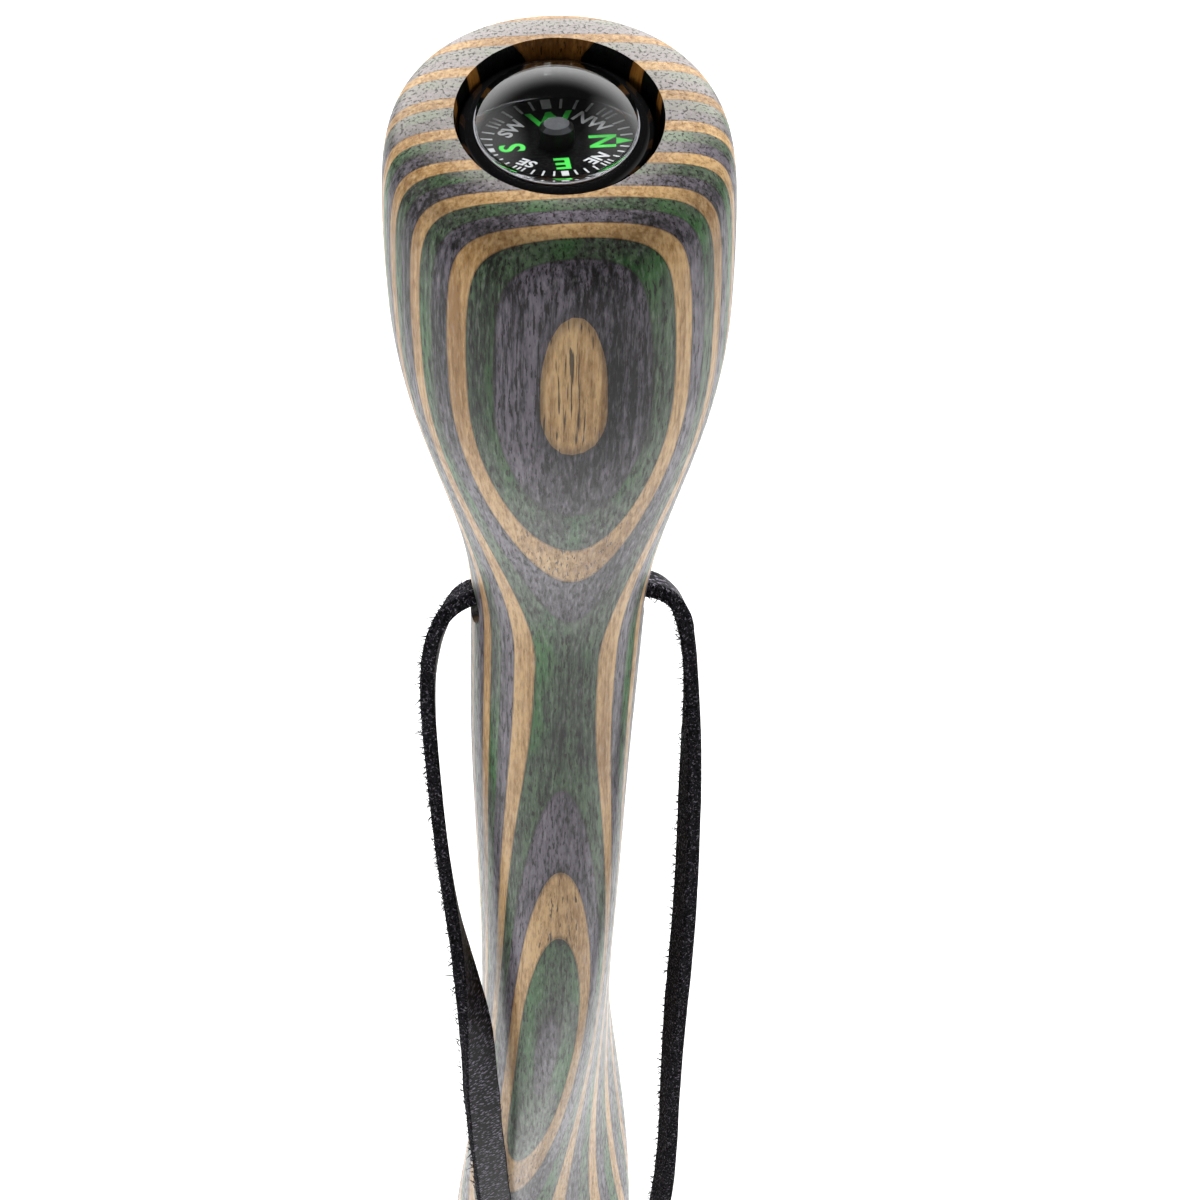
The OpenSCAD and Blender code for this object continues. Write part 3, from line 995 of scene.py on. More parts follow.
@dataclass
class CarvedStaff:
    """The staff's wood: one carved blank of 27 plies with its compass seat and cross bore."""

    form: StaffForm = field(default_factory=StaffForm)
    sides: int = 112
    sharp_deg: float = 38.0
    seat_d: float = 23.4
    seat_back: float = 0.3
    seat_floor: float = 1386.6
    seat_ease_x: float = 0.1
    seat_ease_y: float = 0.42
    # Height over the crown, and share of the ease there.
    seat_levels: tuple[tuple[float, float], ...] = ((-2.4, 0.0), (-1.6, 0.3), (-0.5, 1.0), (3.0, 3.4))
    seat_sides: int = 128
    bore_d: float = 9.0
    bore_drop: float = 91.0
    bore_ease: float = 0.7
    # Distance past the neck's side, and share of the ease there.
    bore_levels: tuple[tuple[float, float], ...] = ((4.0, 4.0), (0.0, 1.0), (-1.2, 0.2), (-2.4, 0.0))
    bore_sides: int = 64

    def seat_cutter(self) -> Piece:
        """Makes the shape of the compass seat, eased towards its rim.

        Returns:
            The cutter.
        """
        r, turn = self.seat_d / 2, around(self.seat_sides)
        levels = [(self.seat_floor, 0.0), *((self.form.staff_h + up, ease) for up, ease in self.seat_levels)]
        rows = []
        for z, ease in levels:
            rx, ry = r + self.seat_ease_x * ease, r + self.seat_ease_y * ease
            y = self.seat_back + ry * np.sin(turn)
            rows.append(np.stack([rx * np.cos(turn), y, np.full_like(turn, z)], 1))
        faces = ring_faces(len(rows), self.seat_sides)
        return outward(mesh_object("seat_cutter", np.concatenate(rows) * MM, faces))

    def bore_cutter(self) -> Piece:
        """Makes the shape of the cross bore, eased at both mouths.

        Returns:
            The cutter.
        """
        turn, z = around(self.bore_sides), self.form.staff_h - self.bore_drop
        mouth, _, _, _, bow = self.form.section(self.bore_drop)
        left = [(bow - mouth - past, ease) for past, ease in self.bore_levels]
        right = [(bow + mouth + past, ease) for past, ease in self.bore_levels[::-1]]
        rows = []
        for x, ease in left + right:
            r = self.bore_d / 2 + self.bore_ease * ease
            rows.append(np.stack([np.full_like(turn, x), r * np.cos(turn), z + r * np.sin(turn)], 1))
        faces = ring_faces(len(rows), self.bore_sides)
        return outward(mesh_object("bore_cutter", np.concatenate(rows) * MM, faces))

    def build(self) -> Piece:
        """Builds the carved wood.

        Returns:
            The piece.
        """
        turn = around(self.sides)
        rows = []
        for drop in self.form.stations():
            a, b, lean, n, bow = self.form.section(drop)
            y = b * squared(np.sin(turn), 2 / n)
            x = bow + lean * y + a * squared(np.cos(turn), 2 / n)
            rows.append(np.stack([x, y, np.full_like(turn, self.form.staff_h - drop)], 1))
        faces = ring_faces(len(rows), self.sides)
        staff = outward(mesh_object("staff_wood", np.concatenate(rows) * MM, faces))
        for cutter in (self.seat_cutter(), self.bore_cutter()):
            cut = staff.modifiers.new(cutter.name, "BOOLEAN")
            cut.operation, cut.solver, cut.object = "DIFFERENCE", "EXACT", cutter
            bpy.context.view_layer.update()
            applied(staff)
            bpy.data.objects.remove(cutter)
        staff.data.shade_smooth()
        staff.data.set_sharp_from_angle(angle=math.radians(self.sharp_deg))
        dress(staff, LaminateFinish().material())
        plies = [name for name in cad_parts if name.startswith("ply_")]
        return enter(staff, Body.STAFF, "wood_natural", *plies)


# Compass


@dataclass
class Compass:
    """The domed compass: clear dome on a black case, and a card that turns."""

    at_x: float = -0.3
    at_y: float = 0.3
    flange_top: float = 1395.4
    flange_d: float = 22.0
    flange_t: float = 1.2
    flange_fall: float = 0.7
    flange_draft: float = 0.1
    flange_steps: int = 10
    dome_d: float = 18.2
    dome_wall_h: float = 1.0
    dome_h: float = 4.4
    dome_steps: int = 28
    dome_sides: int = 160
    dome_sharp_deg: float = 25.0
    ease: float = 0.12
    # The dome's eased foot: steps out and up, in shares of the ease.
    ease_steps: tuple[tuple[float, float], ...] = ((0.0, 2.0), (0.3, 0.9), (0.9, 0.3))
    ease_out: float = 2.0
    # The bead is a painted highlight: a pale ring for the bright rim round the dome's foot.
    bead_r: float = 0.1
    bead_out: float = 0.16
    bead_sides: int = 12
    case_inner_d: float = 18.8
    case_floor: float = 1387.5
    case_gap: float = 0.1
    skin: float = 0.02
    pivot_z: float = 1393.2
    card_tilt_deg: float = 23.8
    card_drop: float = 1.7
    tick_out: float = 7.1
    tick_len: float = 1.2
    tick_w: float = 0.2
    tick_step_deg: int = 10
    block_w: float = 0.75
    mark_t: float = 0.03
    mark_sharp_deg: float = 20.0
    dial_turn_deg: float = 3.8
    main_size: float = 2.5
    main_at: float = 0.585
    side_size: float = 1.45
    side_at: float = 0.68
    arrow_at: float = 0.765
    arrow_half_w: float = 0.62
    stroke: float = 0.022
    black: Color = (0.004, 0.004, 0.0045)
    # Painted shade on the card hub's sides, under its grey top.
    painted_hub_side_shade: Color = (0.004, 0.004, 0.004)

    def seated(self, piece: Piece) -> Piece:
        """Moves a piece that was turned about the row frame's Z to the compass's place."""
        piece.data.transform(Matrix.Translation((self.at_x * MM, self.at_y * MM, 0.0)))
        return piece

    def dome(self) -> Piece:
        """Makes the dome and the clear filling as one solid.

        Returns:
            The piece.
        """
        rim, top = self.dome_d / 2, self.flange_top
        sag = self.dome_h - self.dome_wall_h
        ball_r = (rim**2 + sag**2) / (2 * sag)
        middle = top + self.dome_h - ball_r
        bottom = self.case_floor + self.skin
        foot = rim + self.ease_out * self.ease
        arc = np.linspace(0, math.asin(rim / ball_r), self.dome_steps + 1)
        profile = [(ball_r * math.sin(q), middle + ball_r * math.cos(q)) for q in arc]
        profile += [(rim + out * self.ease, top + up * self.ease) for out, up in self.ease_steps]
        profile += [(foot, top - self.skin), (foot, top - self.flange_t),
                    (self.case_inner_d / 2 - self.case_gap, bottom), (0.0, bottom)]
        dome = self.seated(lathe("compass_dome", profile, self.dome_sides, self.dome_sharp_deg))
        dome.visible_shadow = False
        dress(dome, ClearFinish().material())
        return enter(dome, Body.STAFF, "compass_clear", "compass_lens")

    def flange(self) -> Piece:
        """Makes the black flange that falls away from the dome.

        Returns:
            The piece.
        """
        inner, outer = self.dome_d / 2 + self.ease_out * self.ease, self.flange_d / 2
        high, low = self.flange_top, self.flange_top - self.flange_t
        wide, fall = outer - inner, self.flange_fall
        arc = np.linspace(0, math.pi / 2, self.flange_steps)
        top = [(inner + wide * math.sin(q), high - fall * (1 - math.cos(q))) for q in arc]
        flange = hoop("compass_flange", [(inner, low), *top, (outer - self.flange_draft, low)])
        black = PlasticFinish("flange_black", self.black, roughness=0.08, grain=0.0, specular=1.0)
        dress(flange, black.material())
        return enter(self.seated(flange), Body.STAFF, "compass_clear")

    def dome_edge(self) -> Piece:
        """Makes the pale bead round the dome's foot, a painted highlight for the bright rim that light gives
        it there.

        Returns:
            The piece.
        """
        mid, r = self.dome_d / 2 + self.bead_out, self.bead_r
        turn = around(self.bead_sides)
        bead = hoop("compass_dome_edge",
                    [(mid + r * math.cos(q), self.flange_top + r + r * math.sin(q)) for q in turn])
        dress(bead, PlasticFinish("dome_edge", srgb(150, 150, 155), roughness=0.25).material())
        return enter(self.seated(bead), Body.STAFF, "compass_clear")

    def card_frame(self) -> Matrix:
        """Places what turns: the pivot's tip is its origin, and the card's normal its Z.

        Returns:
            The card's matrix in the row frame.
        """
        at = Matrix.Translation((self.at_x * MM, self.at_y * MM, self.pivot_z * MM))
        return at @ Matrix.Rotation(-math.radians(self.card_tilt_deg), 4, "X")

    def bearing(self, deg: float) -> float:
        """Gives the angle of a bearing on the card, in radians from +X."""
        return math.radians(self.dial_turn_deg) - math.radians(deg)

    def raised(self, outline: Sequence[np.ndarray]) -> Solid:
        """Raises an outline on the card to a mark.

        Args:
            outline: Its corners in mm, anticlockwise.

        Returns:
            Points in mm and faces.
        """
        count, low = len(outline), -self.card_drop
        verts = np.array([(*p, z) for z in (low, low + self.mark_t) for p in outline])
        faces = [[0, *range(count - 1, 0, -1)], list(range(count, 2 * count))]
        for i in range(count):
            j = (i + 1) % count
            faces.append([i, j, count + j, count + i])
        return verts, faces

    def tick(self, deg: float, width: float) -> Solid:
        """Makes one tick at the card's edge.

        Args:
            deg: Its bearing.
            width: Its width.

        Returns:
            Points in mm and faces.
        """
        out, left = heading(self.bearing(deg))
        inner, outer, half = out * (self.tick_out - self.tick_len), out * self.tick_out, left * width / 2
        return self.raised([inner - half, outer - half, outer + half, inner + half])

    def arrow(self) -> Solid:
        """Makes the arrow at north.

        Returns:
            Points in mm and faces.
        """
        out, left = heading(self.bearing(0))
        tip, back, half = out * self.tick_out, out * self.arrow_at * self.tick_out, left * self.arrow_half_w
        return self.raised([tip, back + half, back - half])

    def letters(self, text: str, deg: float, share: float, size: float) -> Solid:
        """Makes raised letters with their tops outward.

        Args:
            text: The letters.
            deg: Their bearing.
            share: Distance of their middle from the card's middle, as a share of the ticks' reach.
            size: Height of a capital.

        Returns:
            Points in mm and faces.
        """
        curve = bpy.data.curves.new(f"letters_{text}", "FONT")
        curve.body, curve.align_x, curve.align_y = text, "CENTER", "CENTER"
        curve.size, curve.extrude, curve.offset = 1.0, 0.01, self.stroke
        curve.resolution_u = 4
        held = bpy.data.objects.new(curve.name, curve)
        bpy.context.scene.collection.objects.link(held)
        bpy.context.view_layer.update()
        mesh = bpy.data.meshes.new_from_object(held.evaluated_get(bpy.context.evaluated_depsgraph_get()))
        flat = np.array([v.co for v in mesh.vertices])
        faces = [list(p.vertices) for p in mesh.polygons]
        bpy.data.objects.remove(held)
        bpy.data.curves.remove(curve)
        low, high = flat.min(0), flat.max(0)
        flat[:, :2] -= (low[:2] + high[:2]) / 2
        across, up = (flat[:, :2] * size / (high[1] - low[1])).T
        lift = np.where(flat[:, 2] > 0, self.mark_t, 0.0) - self.card_drop
        out, left = heading(self.bearing(deg))
        xy = np.outer(share * self.tick_out + up, out) - np.outer(across, left)
        return np.column_stack([xy, lift]), faces

    def marks(self, parts: Iterable[Solid], finish: PlasticFinish) -> Piece:
        """Joins marks of one colour to a piece on the card.

        Args:
            parts: Points in mm and faces of each mark.
            finish: The paint, whose name the piece takes.

        Returns:
            The piece.
        """
        verts, faces = joined(parts)
        piece = mesh_object(finish.name, verts * MM, faces, self.mark_sharp_deg)
        piece.data.transform(self.card_frame())
        dress(piece, finish.material())
        return enter(piece, Body.CARD, "dial_black")

    def dial(self) -> None:
        """Prints the card: ticks, blocks, letters and the north arrow."""
        main = {0: "N", 90: "E", 180: "S", 270: "W"}
        corner = {45: "NE", 135: "SE", 225: "SW", 315: "NW"}
        small = sorted({*range(0, 360, self.tick_step_deg), *corner} - {*main})
        white = [self.tick(deg, self.tick_w) for deg in small]
        white += [self.tick(deg, self.block_w) for deg in main if deg]
        white += [self.letters(text, deg, self.side_at, self.side_size) for deg, text in corner.items()]
        green = [self.letters(text, deg, self.main_at, self.main_size) for deg, text in main.items()]
        green.append(self.arrow())
        self.marks(white, PlasticFinish("dial_white", srgb(172, 174, 176), roughness=0.5, glow=0.01))
        self.marks(green, PlasticFinish("dial_green", srgb(44, 176, 54), roughness=0.5, glow=0.03))

    def build(self) -> None:
        """Builds and dresses the compass."""
        self.dome()
        self.flange()
        self.dome_edge()
        self.dial()
        dress_nodes({
            "compass_case": PlasticFinish(
                "compass_black", self.black, roughness=0.5, grain=0.0, specular=0.08),
            "compass_card": PlasticFinish(
                "dial_black", (0.002, 0.002, 0.0022), roughness=0.6, specular=0.03),
            "card_hub": PlasticFinish(
                "hub_grey", srgb(52, 53, 56), roughness=0.5, sides=self.painted_hub_side_shade, specular=0.2),
            "compass_pivot": PlasticFinish("pivot_steel", (0.6, 0.6, 0.6), roughness=0.25, metallic=1.0),
            "card_jewel": PlasticFinish("jewel_red", (0.45, 0.03, 0.06), roughness=0.15),
            "card_magnet": PlasticFinish("magnet_grey", (0.08, 0.08, 0.085), roughness=0.5),
        })


# Strap

LEFT_ROUTE: tuple[RoutePoint, ...] = (
    (-0.006, 0, 1.306, 35), (-0.008, 0, 1.306, 35), (-0.0112, 0, 1.3052, 34), (-0.0138, 0, 1.3028, 30),
    (-0.0156, -0.0004, 1.2992, 26), (-0.0168, -0.0008, 1.2948, 19), (-0.0178, -0.0014, 1.2875, 9),
    (-0.0182, -0.0022, 1.276, 1), (-0.018, -0.0034, 1.264, -2), (-0.0176, -0.005, 1.251, -3),
    (-0.0169, -0.007, 1.237, -4), (-0.0159, -0.0094, 1.224, -1), (-0.0146, -0.0122, 1.212, 15),
    (-0.0134, -0.015, 1.2, 41), (-0.0128, -0.0176, 1.186, 61), (-0.0122, -0.0198, 1.17, 69),
    (-0.0116, -0.0212, 1.152, 70), (-0.0108, -0.0218, 1.134, 64), (-0.0094, -0.022, 1.115, 52),
    (-0.0076, -0.022, 1.095, 36), (-0.0052, -0.022, 1.075, 20), (-0.003, -0.022, 1.055, 8),
    (-0.0018, -0.022, 1.041, 2), (-0.0014, -0.022, 1.031, 0), (-0.0014, -0.022, 1.026, 0),
)
RIGHT_ROUTE: tuple[RoutePoint, ...] = (
    (0.006, 0, 1.306, -35), (0.008, 0, 1.306, -35), (0.012, 0, 1.3056, -35), (0.0153, 0, 1.304, -30),
    (0.0176, -0.0003, 1.3006, -20), (0.019, -0.0006, 1.2954, -7), (0.0203, -0.0014, 1.286, 2),
    (0.021, -0.0022, 1.276, 0), (0.0214, -0.0034, 1.264, -6), (0.0217, -0.005, 1.25, -10),
    (0.0219, -0.0068, 1.236, -12), (0.022, -0.0086, 1.219, -12), (0.0218, -0.0106, 1.203, -13),
    (0.0215, -0.0128, 1.186, -12), (0.0215, -0.015, 1.168, -10), (0.0217, -0.017, 1.151, -10),
    (0.0215, -0.0188, 1.134, -9), (0.0204, -0.0202, 1.116, -7), (0.0178, -0.0212, 1.097, -5),
    (0.0138, -0.0218, 1.078, -3), (0.0092, -0.022, 1.061, -2), (0.0048, -0.022, 1.046, -1),
    (0.0022, -0.022, 1.036, 0), (0.0014, -0.022, 1.03, 0), (0.0014, -0.022, 1.026, 0),
)
# From where a tail leaves the knot, for the right one.
TAIL_ROUTE: tuple[RoutePoint, ...] = (
    (0, 0, 0, 0), (0.0002, 0, -0.005, 0), (0.0012, 0, -0.013, 6), (0.0026, -0.0004, -0.021, 14),
    (0.0036, -0.001, -0.03, 20),
)


@dataclass(frozen=True)
class Winding:
    """One winding of lace in the knot.

    It goes round by turns from start_deg, its middle falls from drop to end_drop below the knot's top at
    radius from the knot's middle, and it rises and falls by tilt on a turn.
    """

    turns: float
    start_deg: float
    drop: float
    end_drop: float
    radius: float
    tilt: float
    half_w: float = 2.35
    half_t: float = 1.1
    squareness: float = 0.5
    corners: int = 20
    steps_per_turn: int = 40
    tuck: float = 1.5
    tuck_steps: int = 5

    def solid(self, top: Point) -> Solid:
        """Makes the winding.

        Args:
            top: The middle of the knot's top, in mm.

        Returns:
            Points in mm and faces.
        """
        turn = around(self.corners)
        up = self.half_w * squared(np.cos(turn), self.squareness)
        thick = self.half_t * squared(np.sin(turn), self.squareness)
        steps = int(self.steps_per_turn * self.turns)
        rings = []
        for i in range(steps + 1):
            share = i / steps
            q = math.radians(self.start_deg) + FULL_TURN * self.turns * share
            from_end = min(i, steps - i)
            r = self.radius - self.tuck * max(0.0, 1 - from_end / self.tuck_steps)
            z = top[2] - self.drop + (self.drop - self.end_drop) * share + self.tilt * math.sin(q)
            x, y = math.cos(q) * (r + thick), math.sin(q) * (r + thick)
            rings.append(np.column_stack([top[0] + x, top[1] + y, z + up]))
        return np.concatenate(rings), ring_faces(steps + 1, self.corners)


@dataclass(frozen=True)
class LooseFibres:
    """Loose fibres on the corners, the cut edges and the flesh side of one leg of the lace.

    Chance picks from each span. A sink is how deep under the surface a fibre starts.
    """

    count: int
    growth: float
    half_w: float
    half_t: float
    run: Span = (0.02, 0.995)
    corner_share: float = 0.6
    corner_sinks: Span = (0.2, 0.15)
    corner_out: Span = (0.6, 1.0)
    corner_side: Span = (-0.2, 0.6)
    corner_or_edge_share: float = 0.8
    edge_sink: float = 0.25
    edge_spread: Span = (-0.6, 1.0)
    edge_out: Span = (0.5, 1.0)
    edge_side: Span = (-0.2, 0.8)
    flesh_sink: float = 0.2
    flesh_spread: Span = (-0.9, 0.9)
    flesh_out: Span = (0.4, 1.0)
    flesh_side: Span = (-0.6, 0.6)
    lean: Span = (-1.5, 1.5)
    shortest: float = 0.4
    grown: Span = (0.1, 1.0)
    bend: Span = (-0.5, 0.7)
    radius: Span = (0.055, 0.12)
    taper: float = 0.8
    rings: int = 4
    sides: int = 3
    off_axis: float = 0.01

    def root(self, rng: random.Random, flat: np.ndarray, flesh: np.ndarray) -> tuple[np.ndarray, np.ndarray]:
        """Picks where a fibre starts on the section, and which way it leaves.

        Args:
            rng: Source of chance.
            flat: Direction of the lace's width.
            flesh: Direction of its flesh side.

        Returns:
            The start, from the section's middle in mm, and the direction.
        """
        w, t = self.half_w, self.half_t
        edge = flat * rng.choice((-1.0, 1.0))
        kind = rng.random()
        if kind < self.corner_share:
            spot = edge * (w - self.corner_sinks[0]) + flesh * (t - self.corner_sinks[1])
            return spot, flesh * rng.uniform(*self.corner_out) + edge * rng.uniform(*self.corner_side)
        if kind < self.corner_or_edge_share:
            spot = edge * (w - self.edge_sink) + flesh * rng.uniform(*self.edge_spread) * t
            return spot, edge * rng.uniform(*self.edge_out) + flesh * rng.uniform(*self.edge_side)
        spot = flat * rng.uniform(*self.flesh_spread) * w + flesh * (t - self.flesh_sink)
        return spot, flesh * rng.uniform(*self.flesh_out) + flat * rng.uniform(*self.flesh_side)

    def solid(self, line: np.ndarray, ways: Sequence[np.ndarray], rng: random.Random) -> Solid:
        """Makes the fibres.

        Args:
            line: Points and turns along the lace.
            ways: Heading, direction of the width and direction of the thickness at each point.
            rng: Source of chance.

        Returns:
            Points in mm and faces.
        """
        far = run_of(line)[1:]
        turn = around(self.sides)[:, None]
        skin = ring_faces(self.rings, self.sides)
        parts: list[Solid] = []
        for _ in range(self.count):
            i = int(np.searchsorted(far, rng.uniform(*self.run) * far[-1]))
            along, flat, face = (way[i] for way in ways)
            spot, out = self.root(rng, flat, -face)
            out = out + along * rng.uniform(*self.lean)
            out /= np.linalg.norm(out)
            size = self.growth * rng.uniform(*self.grown) ** 2 + self.shortest
            bend = along * rng.uniform(*self.bend) * size
            base = line[i, :3] / MM + spot
            radius = rng.uniform(*self.radius)
            side = np.cross(out, along + self.off_axis)
            side /= np.linalg.norm(side)
            ring = side * np.cos(turn) + np.cross(out, side) * np.sin(turn)
            rings = []
            for share in np.linspace(0, 1, self.rings):
                middle = base + out * size * share + bend * share**2
                rings.append(middle + ring * radius * (1 - self.taper * share))
            parts.append((np.concatenate(rings), skin))
        return joined(parts)


@dataclass
class LaceStrap:
    """The leather lace through the neck, tied to a loop by a knot."""

    lace_w: float = 6.4
    lace_t: float = 2.2
    corner: float = 0.352
    cut_hollow: float = 0.12
    cut_parts: int = 4
    broad_parts: int = 8
    steps: int = 8
    lace_sharp_deg: float = 60.0
    seed: int = 7
    # Wavelength over 2 pi and height of the waves in each cut edge.
    edge_waves: tuple[tuple[tuple[float, float], ...], ...] = (
        ((9.0, 0.10), (3.3, 0.06), (1.3, 0.03)),
        ((7.0, 0.10), (2.7, 0.06), (1.1, 0.03)),
    )
    wave_phase: float = 6.28
    edge_in: float = 0.12
    edge_power: int = 4
    edge_from: float = 0.9
    rough_h: float = 0.05
    grain_rough: float = 0.2
    bore_x_m: tuple[float, ...] = (-0.0065, -0.003, 0.003, 0.0065)
    windings: tuple[Winding, ...] = (
        Winding(1.15, 200, 2.4, 2.9, 5.0, 0.35),
        Winding(1.2, 20, 6.9, 6.2, 5.25, -0.7),
        Winding(1.15, 120, 10.2, 10.6, 5.0, 0.5),
    )
    knot_h: float = 13.0
    knot_sharp_deg: float = 50.0
    tail_out: float = 1.43
    tail_sink_m: float = 0.004
    left_fibres: int = 1400
    left_growth: float = 1.3
    right_fibres: int = 1500
    right_growth: float = 1.4
    fibre_sharp_deg: float = 80.0
    finishes: list[bpy.types.Material] = field(init=False)

    def profile(self) -> list[tuple[float, float, Side]]:
        """Outline of the lace's section.

        Returns:
            Each corner's place along the width and the thickness, and the side that comes after it.
        """
        w, t, c = self.lace_w / 2, self.lace_t / 2, self.corner
        cut, broad = t - c, w - c
        half = []
        for i in range(self.cut_parts + 1):
            share = i / self.cut_parts
            half.append((w - self.cut_hollow * math.sin(math.pi * share), cut - 2 * cut * share))
        half += [(broad - 2 * broad * i / self.broad_parts, -t) for i in range(self.broad_parts + 1)]
        rows: list[tuple[float, float, Side]] = []
        for sign, side in ((1, Side.FLESH), (-1, Side.GRAIN)):
            sides = [Side.EDGE] * (self.cut_parts + 1) + [side] * self.broad_parts + [Side.EDGE]
            rows += [(sign * u, sign * v, s) for (u, v), s in zip(half, sides)]
        return rows

    @staticmethod
    def frames(line: np.ndarray) -> tuple[np.ndarray, np.ndarray, np.ndarray]:
        """Directions of the lace along its run.

        Args:
            line: Points and turns along the run.

        Returns:
            Heading, direction of the width and direction of the thickness at each point.
        """
        along = np.gradient(line[:, :3], axis=0)
        along /= np.linalg.norm(along, axis=1)[:, None]
        flat = np.array([0.0, 1.0, 0.0]) - along * along[:, 1:2]
        flat /= np.linalg.norm(flat, axis=1)[:, None]
        face = np.cross(along, flat)
        turn = np.radians(line[:, 3])[:, None]
        flat = flat * np.cos(turn) + face * np.sin(turn)
        return along, flat, np.cross(along, flat)

    def lace(self, name: str, route: Sequence[RoutePoint], node: str,
             grain_up: bool = True) -> tuple[Piece, np.ndarray]:
        """Makes one stretch of lace with its grain, flesh and cut sides.

        Args:
            name: Name of the piece.
            route: Points in metres and turns that it follows.
            node: CAD node that it stands for.
            grain_up: Whether the grain side is on the thickness's plus side.

        Returns:
            The piece and the points and turns along it.
        """
        line = curve_through(np.array(route, float), self.steps)
        _, flat, face = self.frames(line)
        rng = np.random.RandomState(self.seed + len(name))
        rows = self.profile()
        far = run_of(line) / MM
        plus, minus = [sum(np.sin(far / length + rng.uniform(0, self.wave_phase)) * height
                           for length, height in waves) for waves in self.edge_waves]
        verts = np.zeros((len(line), len(rows), 3))
        for j, (u, v, _) in enumerate(rows):
            edge = abs(u) / (self.lace_w / 2)
            up = v if grain_up else -v
            loose = 1.0 if edge > self.edge_from or (v > 0) != grain_up else self.grain_rough
            rough = rng.uniform(-self.rough_h, self.rough_h, len(line)) * loose
            sway = (plus if u > 0 else -minus) - self.edge_in * np.sign(u)
            across = (u + sway * edge**self.edge_power)[:, None]
            lift = (up + rough - self.rough_h * np.sign(up))[:, None]
            verts[:, j] = line[:, :3] + (flat * across + face * lift) * MM
        faces = ring_faces(len(line), len(rows))
        piece = mesh_object(name, verts.reshape(-1, 3), faces, self.lace_sharp_deg)
        dress(piece, *self.finishes)
        ends = [Side.EDGE.value] * 2
        sides = [side.value for _, _, side in rows] * (len(line) - 1) + ends
        piece.data.polygons.foreach_set("material_index", sides)
        return enter(outward(piece), Body.STRAP, "leather", node), line

    def fibres(self, name: str, line: np.ndarray, count: int, growth: float) -> Piece:
        """Makes the loose fibres along one leg.

        Args:
            name: Name of the piece.
            line: Points and turns along the leg.
            count: Number of fibres.
            growth: How much longer the longest one is than the shortest.

        Returns:
            The piece.
        """
        coat = LooseFibres(count, growth, self.lace_w / 2, self.lace_t / 2)
        verts, faces = coat.solid(line, self.frames(line), random.Random(self.seed + count))
        piece = mesh_object(name, verts * MM, faces, self.fibre_sharp_deg)
        dress(piece, self.finishes[Side.EDGE.value])
        return enter(piece, Body.STRAP, "leather")

    def knot(self) -> Piece:
        """Makes the knot: the lace wound round both legs and drawn under itself.

        Returns:
            The piece.
        """
        _, y, z, _ = LEFT_ROUTE[-1]
        verts, faces = joined(winding.solid((0.0, y / MM, z / MM)) for winding in self.windings)
        piece = outward(mesh_object("strap_tie", verts * MM, faces, self.knot_sharp_deg))
        dress(piece, self.finishes[Side.GRAIN.value])
        return enter(piece, Body.STRAP, "leather", "strap_knot")

    def tail(self, side: int, name: str) -> Piece:
        """Makes one tail below the knot.

        Args:
            side: -1 for the left tail and 1 for the right one.
            name: Which one it is, in words.

        Returns:
            The piece.
        """
        _, knot_y, knot_z, _ = LEFT_ROUTE[-1]
        sink = self.tail_sink_m
        start = (side * self.tail_out * MM, knot_y, knot_z - self.knot_h * MM + sink)
        route = [(start[0] + side * x, start[1] + y, start[2] + z - (sink if z else 0.0), side * turn)
                 for x, y, z, turn in TAIL_ROUTE]
        return self.lace(f"lace_tail_{name}", route, f"strap_tail_{name}", side < 0)[0]

    def hang(self, piece: Piece, route: Sequence[RoutePoint], line: np.ndarray, extra: list[Piece]) -> None:
        """Takes one free leg of the strap, and does nothing with it.

        Args:
            piece: The leg. Not used.
            route: The points that it was made through. Not used.
            line: Points and turns along it. Not used.
            extra: Pieces that go with it. Not used.
        """

    def build(self) -> None:
        """Builds the strap, and hands its two free legs to hang, which does nothing with them."""
        self.finishes = [LeatherFinish(side).material() for side in Side]
        z, turn = RIGHT_ROUTE[0][2:]
        self.lace("lace_bore", [(x, 0.0, z, turn) for x in self.bore_x_m], "strap_bore")
        left, left_line = self.lace("lace_left", LEFT_ROUTE, "strap_left")
        right, right_line = self.lace("lace_right", RIGHT_ROUTE, "strap_right")
        knot = self.knot()
        tail_left, tail_right = self.tail(-1, "left"), self.tail(1, "right")
        fibres_left = self.fibres("fibres_left", left_line, self.left_fibres, self.left_growth)
        fibres_right = self.fibres("fibres_right", right_line, self.right_fibres, self.right_growth)
        self.hang(left, LEFT_ROUTE, left_line, [knot, tail_left, fibres_left])
        self.hang(right, RIGHT_ROUTE, right_line, [tail_right, fibres_right])


# Foot


@dataclass
class Foot:
    """The rubber ferrule and the washer in it."""

    washer: Color = (0.55, 0.55, 0.54)
    washer_roughness: float = 0.3

    def build(self) -> None:
        """Dresses the ferrule and the washer."""
        washer = PlasticFinish("washer_steel", self.washer, self.washer_roughness, metallic=1.0)
        dress_nodes({"ferrule": RubberFinish(), "ferrule_washer": washer})


# Studio


@dataclass(frozen=True)
class Lamp:
    """One soft square lamp that doesn't show itself."""

    name: str
    at_m: Point
    aim_m: Point
    size_m: float
    power_w: float

    def hang(self) -> None:
        """Hangs the lamp."""
        data = bpy.data.lights.new(self.name, "AREA")
        data.energy, data.size = self.power_w, self.size_m
        made = bpy.data.objects.new(self.name, data)
        made.location = self.at_m
        made.rotation_mode = "QUATERNION"
        made.rotation_quaternion = (Vector(self.aim_m) - Vector(self.at_m)).to_track_quat("-Z", "Y")
        made.visible_camera = False
        made.visible_glossy = False
        bpy.context.scene.collection.objects.link(made)


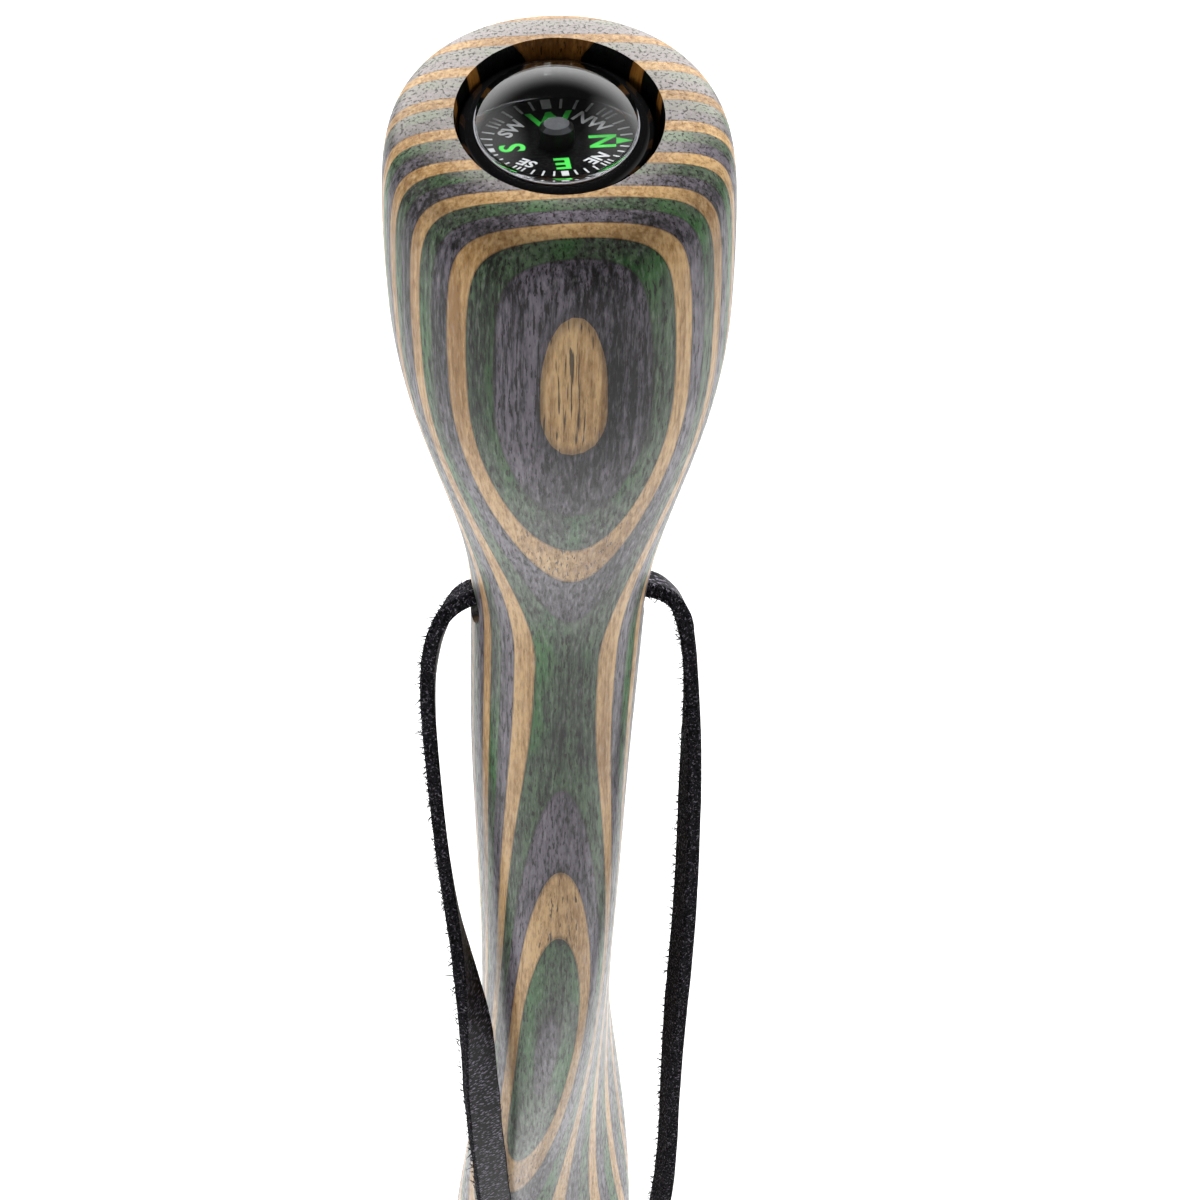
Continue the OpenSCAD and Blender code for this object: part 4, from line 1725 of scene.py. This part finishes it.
@dataclass
class Studio:
    """Pale floor, soft light, white background and the camera."""

    camera_at_m: Point = (-0.016948, -0.209896, 1.606472)
    azimuth_deg: float = -6.454
    elevation_deg: float = 55.279
    roll_deg: float = 2.413
    lens: float = 78.69
    sensor: float = 36.0
    lamps: tuple[Lamp, ...] = (
        Lamp("over", (0.2, 1.9, 2.6), (0, 0, 1.3), 1.3, 130.0),
        Lamp("left", (-1.9, -0.2, 1.7), (0, 0, 1.2), 1.2, 26.0),
        Lamp("right", (1.9, 0.1, 1.7), (0, 0, 1.2), 1.2, 25.0),
        Lamp("front", (0, -1.7, 0.3), (0, 0, 1.1), 1.2, 20.0),
    )
    white: Color = (1.0, 1.0, 1.0)
    floor_half_m: float = 12.0
    floor_grey: Color = (0.82, 0.82, 0.82)
    floor_roughness: float = 0.9
    floor_specular: float = 0.1
    # The gleam that the floor gives to reflections, by metres from the staff.
    gleam_front: Fade = (-0.8, -0.35, 0.02, 2.0)
    gleam_back: Fade = (0.0, 0.8, 1.0, 0.15)
    gleam_sides: Fade = (0.15, 0.5, 1.0, 0.3)
    # How the floor pales into the background, by metres from the foot.
    pale_near: Fade = (0.12, 0.42, 0.0, 0.4)
    pale_far: Fade = (0.8, 5.0, 0.0, 0.45)
    # The room's light on surfaces and in reflections, by direction.
    soft_up: Fade = (0.2, 0.7, 0.5, 0.12)
    soft_back: Fade = (-0.9, 0.1, 0.45, 1.0)
    sheen_up: Fade = (0.0, 0.55, 1.05, 0.02)
    sheen_back: Fade = (-0.5, 0.3, 0.3, 1.0)
    sheen_sides: Fade = (0.34, 0.74, 0.0, 0.45)

    def floor(self) -> None:
        """Lays the floor."""
        h = self.floor_half_m
        corners = np.array([(-h, -h, 0), (h, -h, 0), (h, h, 0), (-h, h, 0)], float)
        plane = mesh_object("floor", corners, [[0, 1, 2, 3]])
        g = Graph("floor_pale")
        rays = g.add("ShaderNodeLightPath").outputs
        place = g.split(g.place((MM, MM, MM)))
        beside = g.math("ABSOLUTE", place[0])
        gleam = g.product(rays["Is Glossy Ray"], g.ramp(place[1], *self.gleam_front),
                          g.ramp(place[1], *self.gleam_back), g.ramp(beside, *self.gleam_sides))
        far = g.reach(place)
        pale = g.math("ADD", g.ramp(far, *self.pale_near), g.ramp(far, *self.pale_far))
        seen = g.product(rays["Is Camera Ray"], pale)
        g.set(Base_Color=self.floor_grey, Roughness=self.floor_roughness,
              Specular_IOR_Level=self.floor_specular, Emission_Color=self.white,
              Emission_Strength=g.math("ADD", gleam, seen))
        dress(plane, g.material)

    def world(self) -> None:
        """Sets the white background and the soft light from all round."""
        world = bpy.data.worlds.new("studio")
        bpy.context.scene.world = world
        world.use_nodes = True
        world.node_tree.nodes.clear()
        g = NodeGraph(world.node_tree)
        x, y, z = g.split(g.add("ShaderNodeTexCoord").outputs["Generated"])
        soft = g.product(g.ramp(z, *self.soft_up), g.ramp(y, *self.soft_back))
        beside = g.ramp(g.math("ABSOLUTE", x), *self.sheen_sides)
        sheen = g.math("MAXIMUM", g.ramp(z, *self.sheen_up), beside)
        sheen = g.product(sheen, g.ramp(y, *self.sheen_back))
        rays = g.add("ShaderNodeLightPath").outputs
        light = g.add("ShaderNodeMix", data_type="FLOAT")
        for i, value in ((0, rays["Is Glossy Ray"]), (2, soft), (3, sheen)):
            g.put(light.inputs[i], value)
        sky = g.add("ShaderNodeBackground")
        g.put(sky.inputs["Color"], self.white)
        g.put(sky.inputs["Strength"], g.math("MAXIMUM", rays["Is Camera Ray"], light.outputs[0]))
        g.put(g.add("ShaderNodeOutputWorld").inputs[0], sky.outputs[0])

    def camera(self) -> None:
        """Sets the photo's camera."""
        data = bpy.data.cameras.new("photo")
        data.lens, data.sensor_width = self.lens, self.sensor
        made = bpy.data.objects.new("photo", data)
        turn = Matrix.Rotation(math.radians(self.azimuth_deg), 4, "Z")
        tip = Matrix.Rotation(math.radians(90 - self.elevation_deg), 4, "X")
        roll = Matrix.Rotation(math.radians(self.roll_deg), 4, "Z")
        made.matrix_world = Matrix.Translation(self.camera_at_m) @ turn @ tip @ roll
        bpy.context.scene.collection.objects.link(made)
        bpy.context.scene.camera = made

    def build(self) -> None:
        """Sets the stage."""
        self.camera()
        self.floor()
        self.world()
        for lamp in self.lamps:
            lamp.hang()
        bpy.context.scene.view_settings.view_transform = "Standard"


def main() -> None:
    """Builds every sub-assembly in order."""
    logging.basicConfig(level=logging.INFO, format="%(message)s")
    Studio().build()
    LaceStrap().build()
    CarvedStaff().build()
    Compass().build()
    Foot().build()
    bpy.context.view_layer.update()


if __name__ == "__main__":
    main()
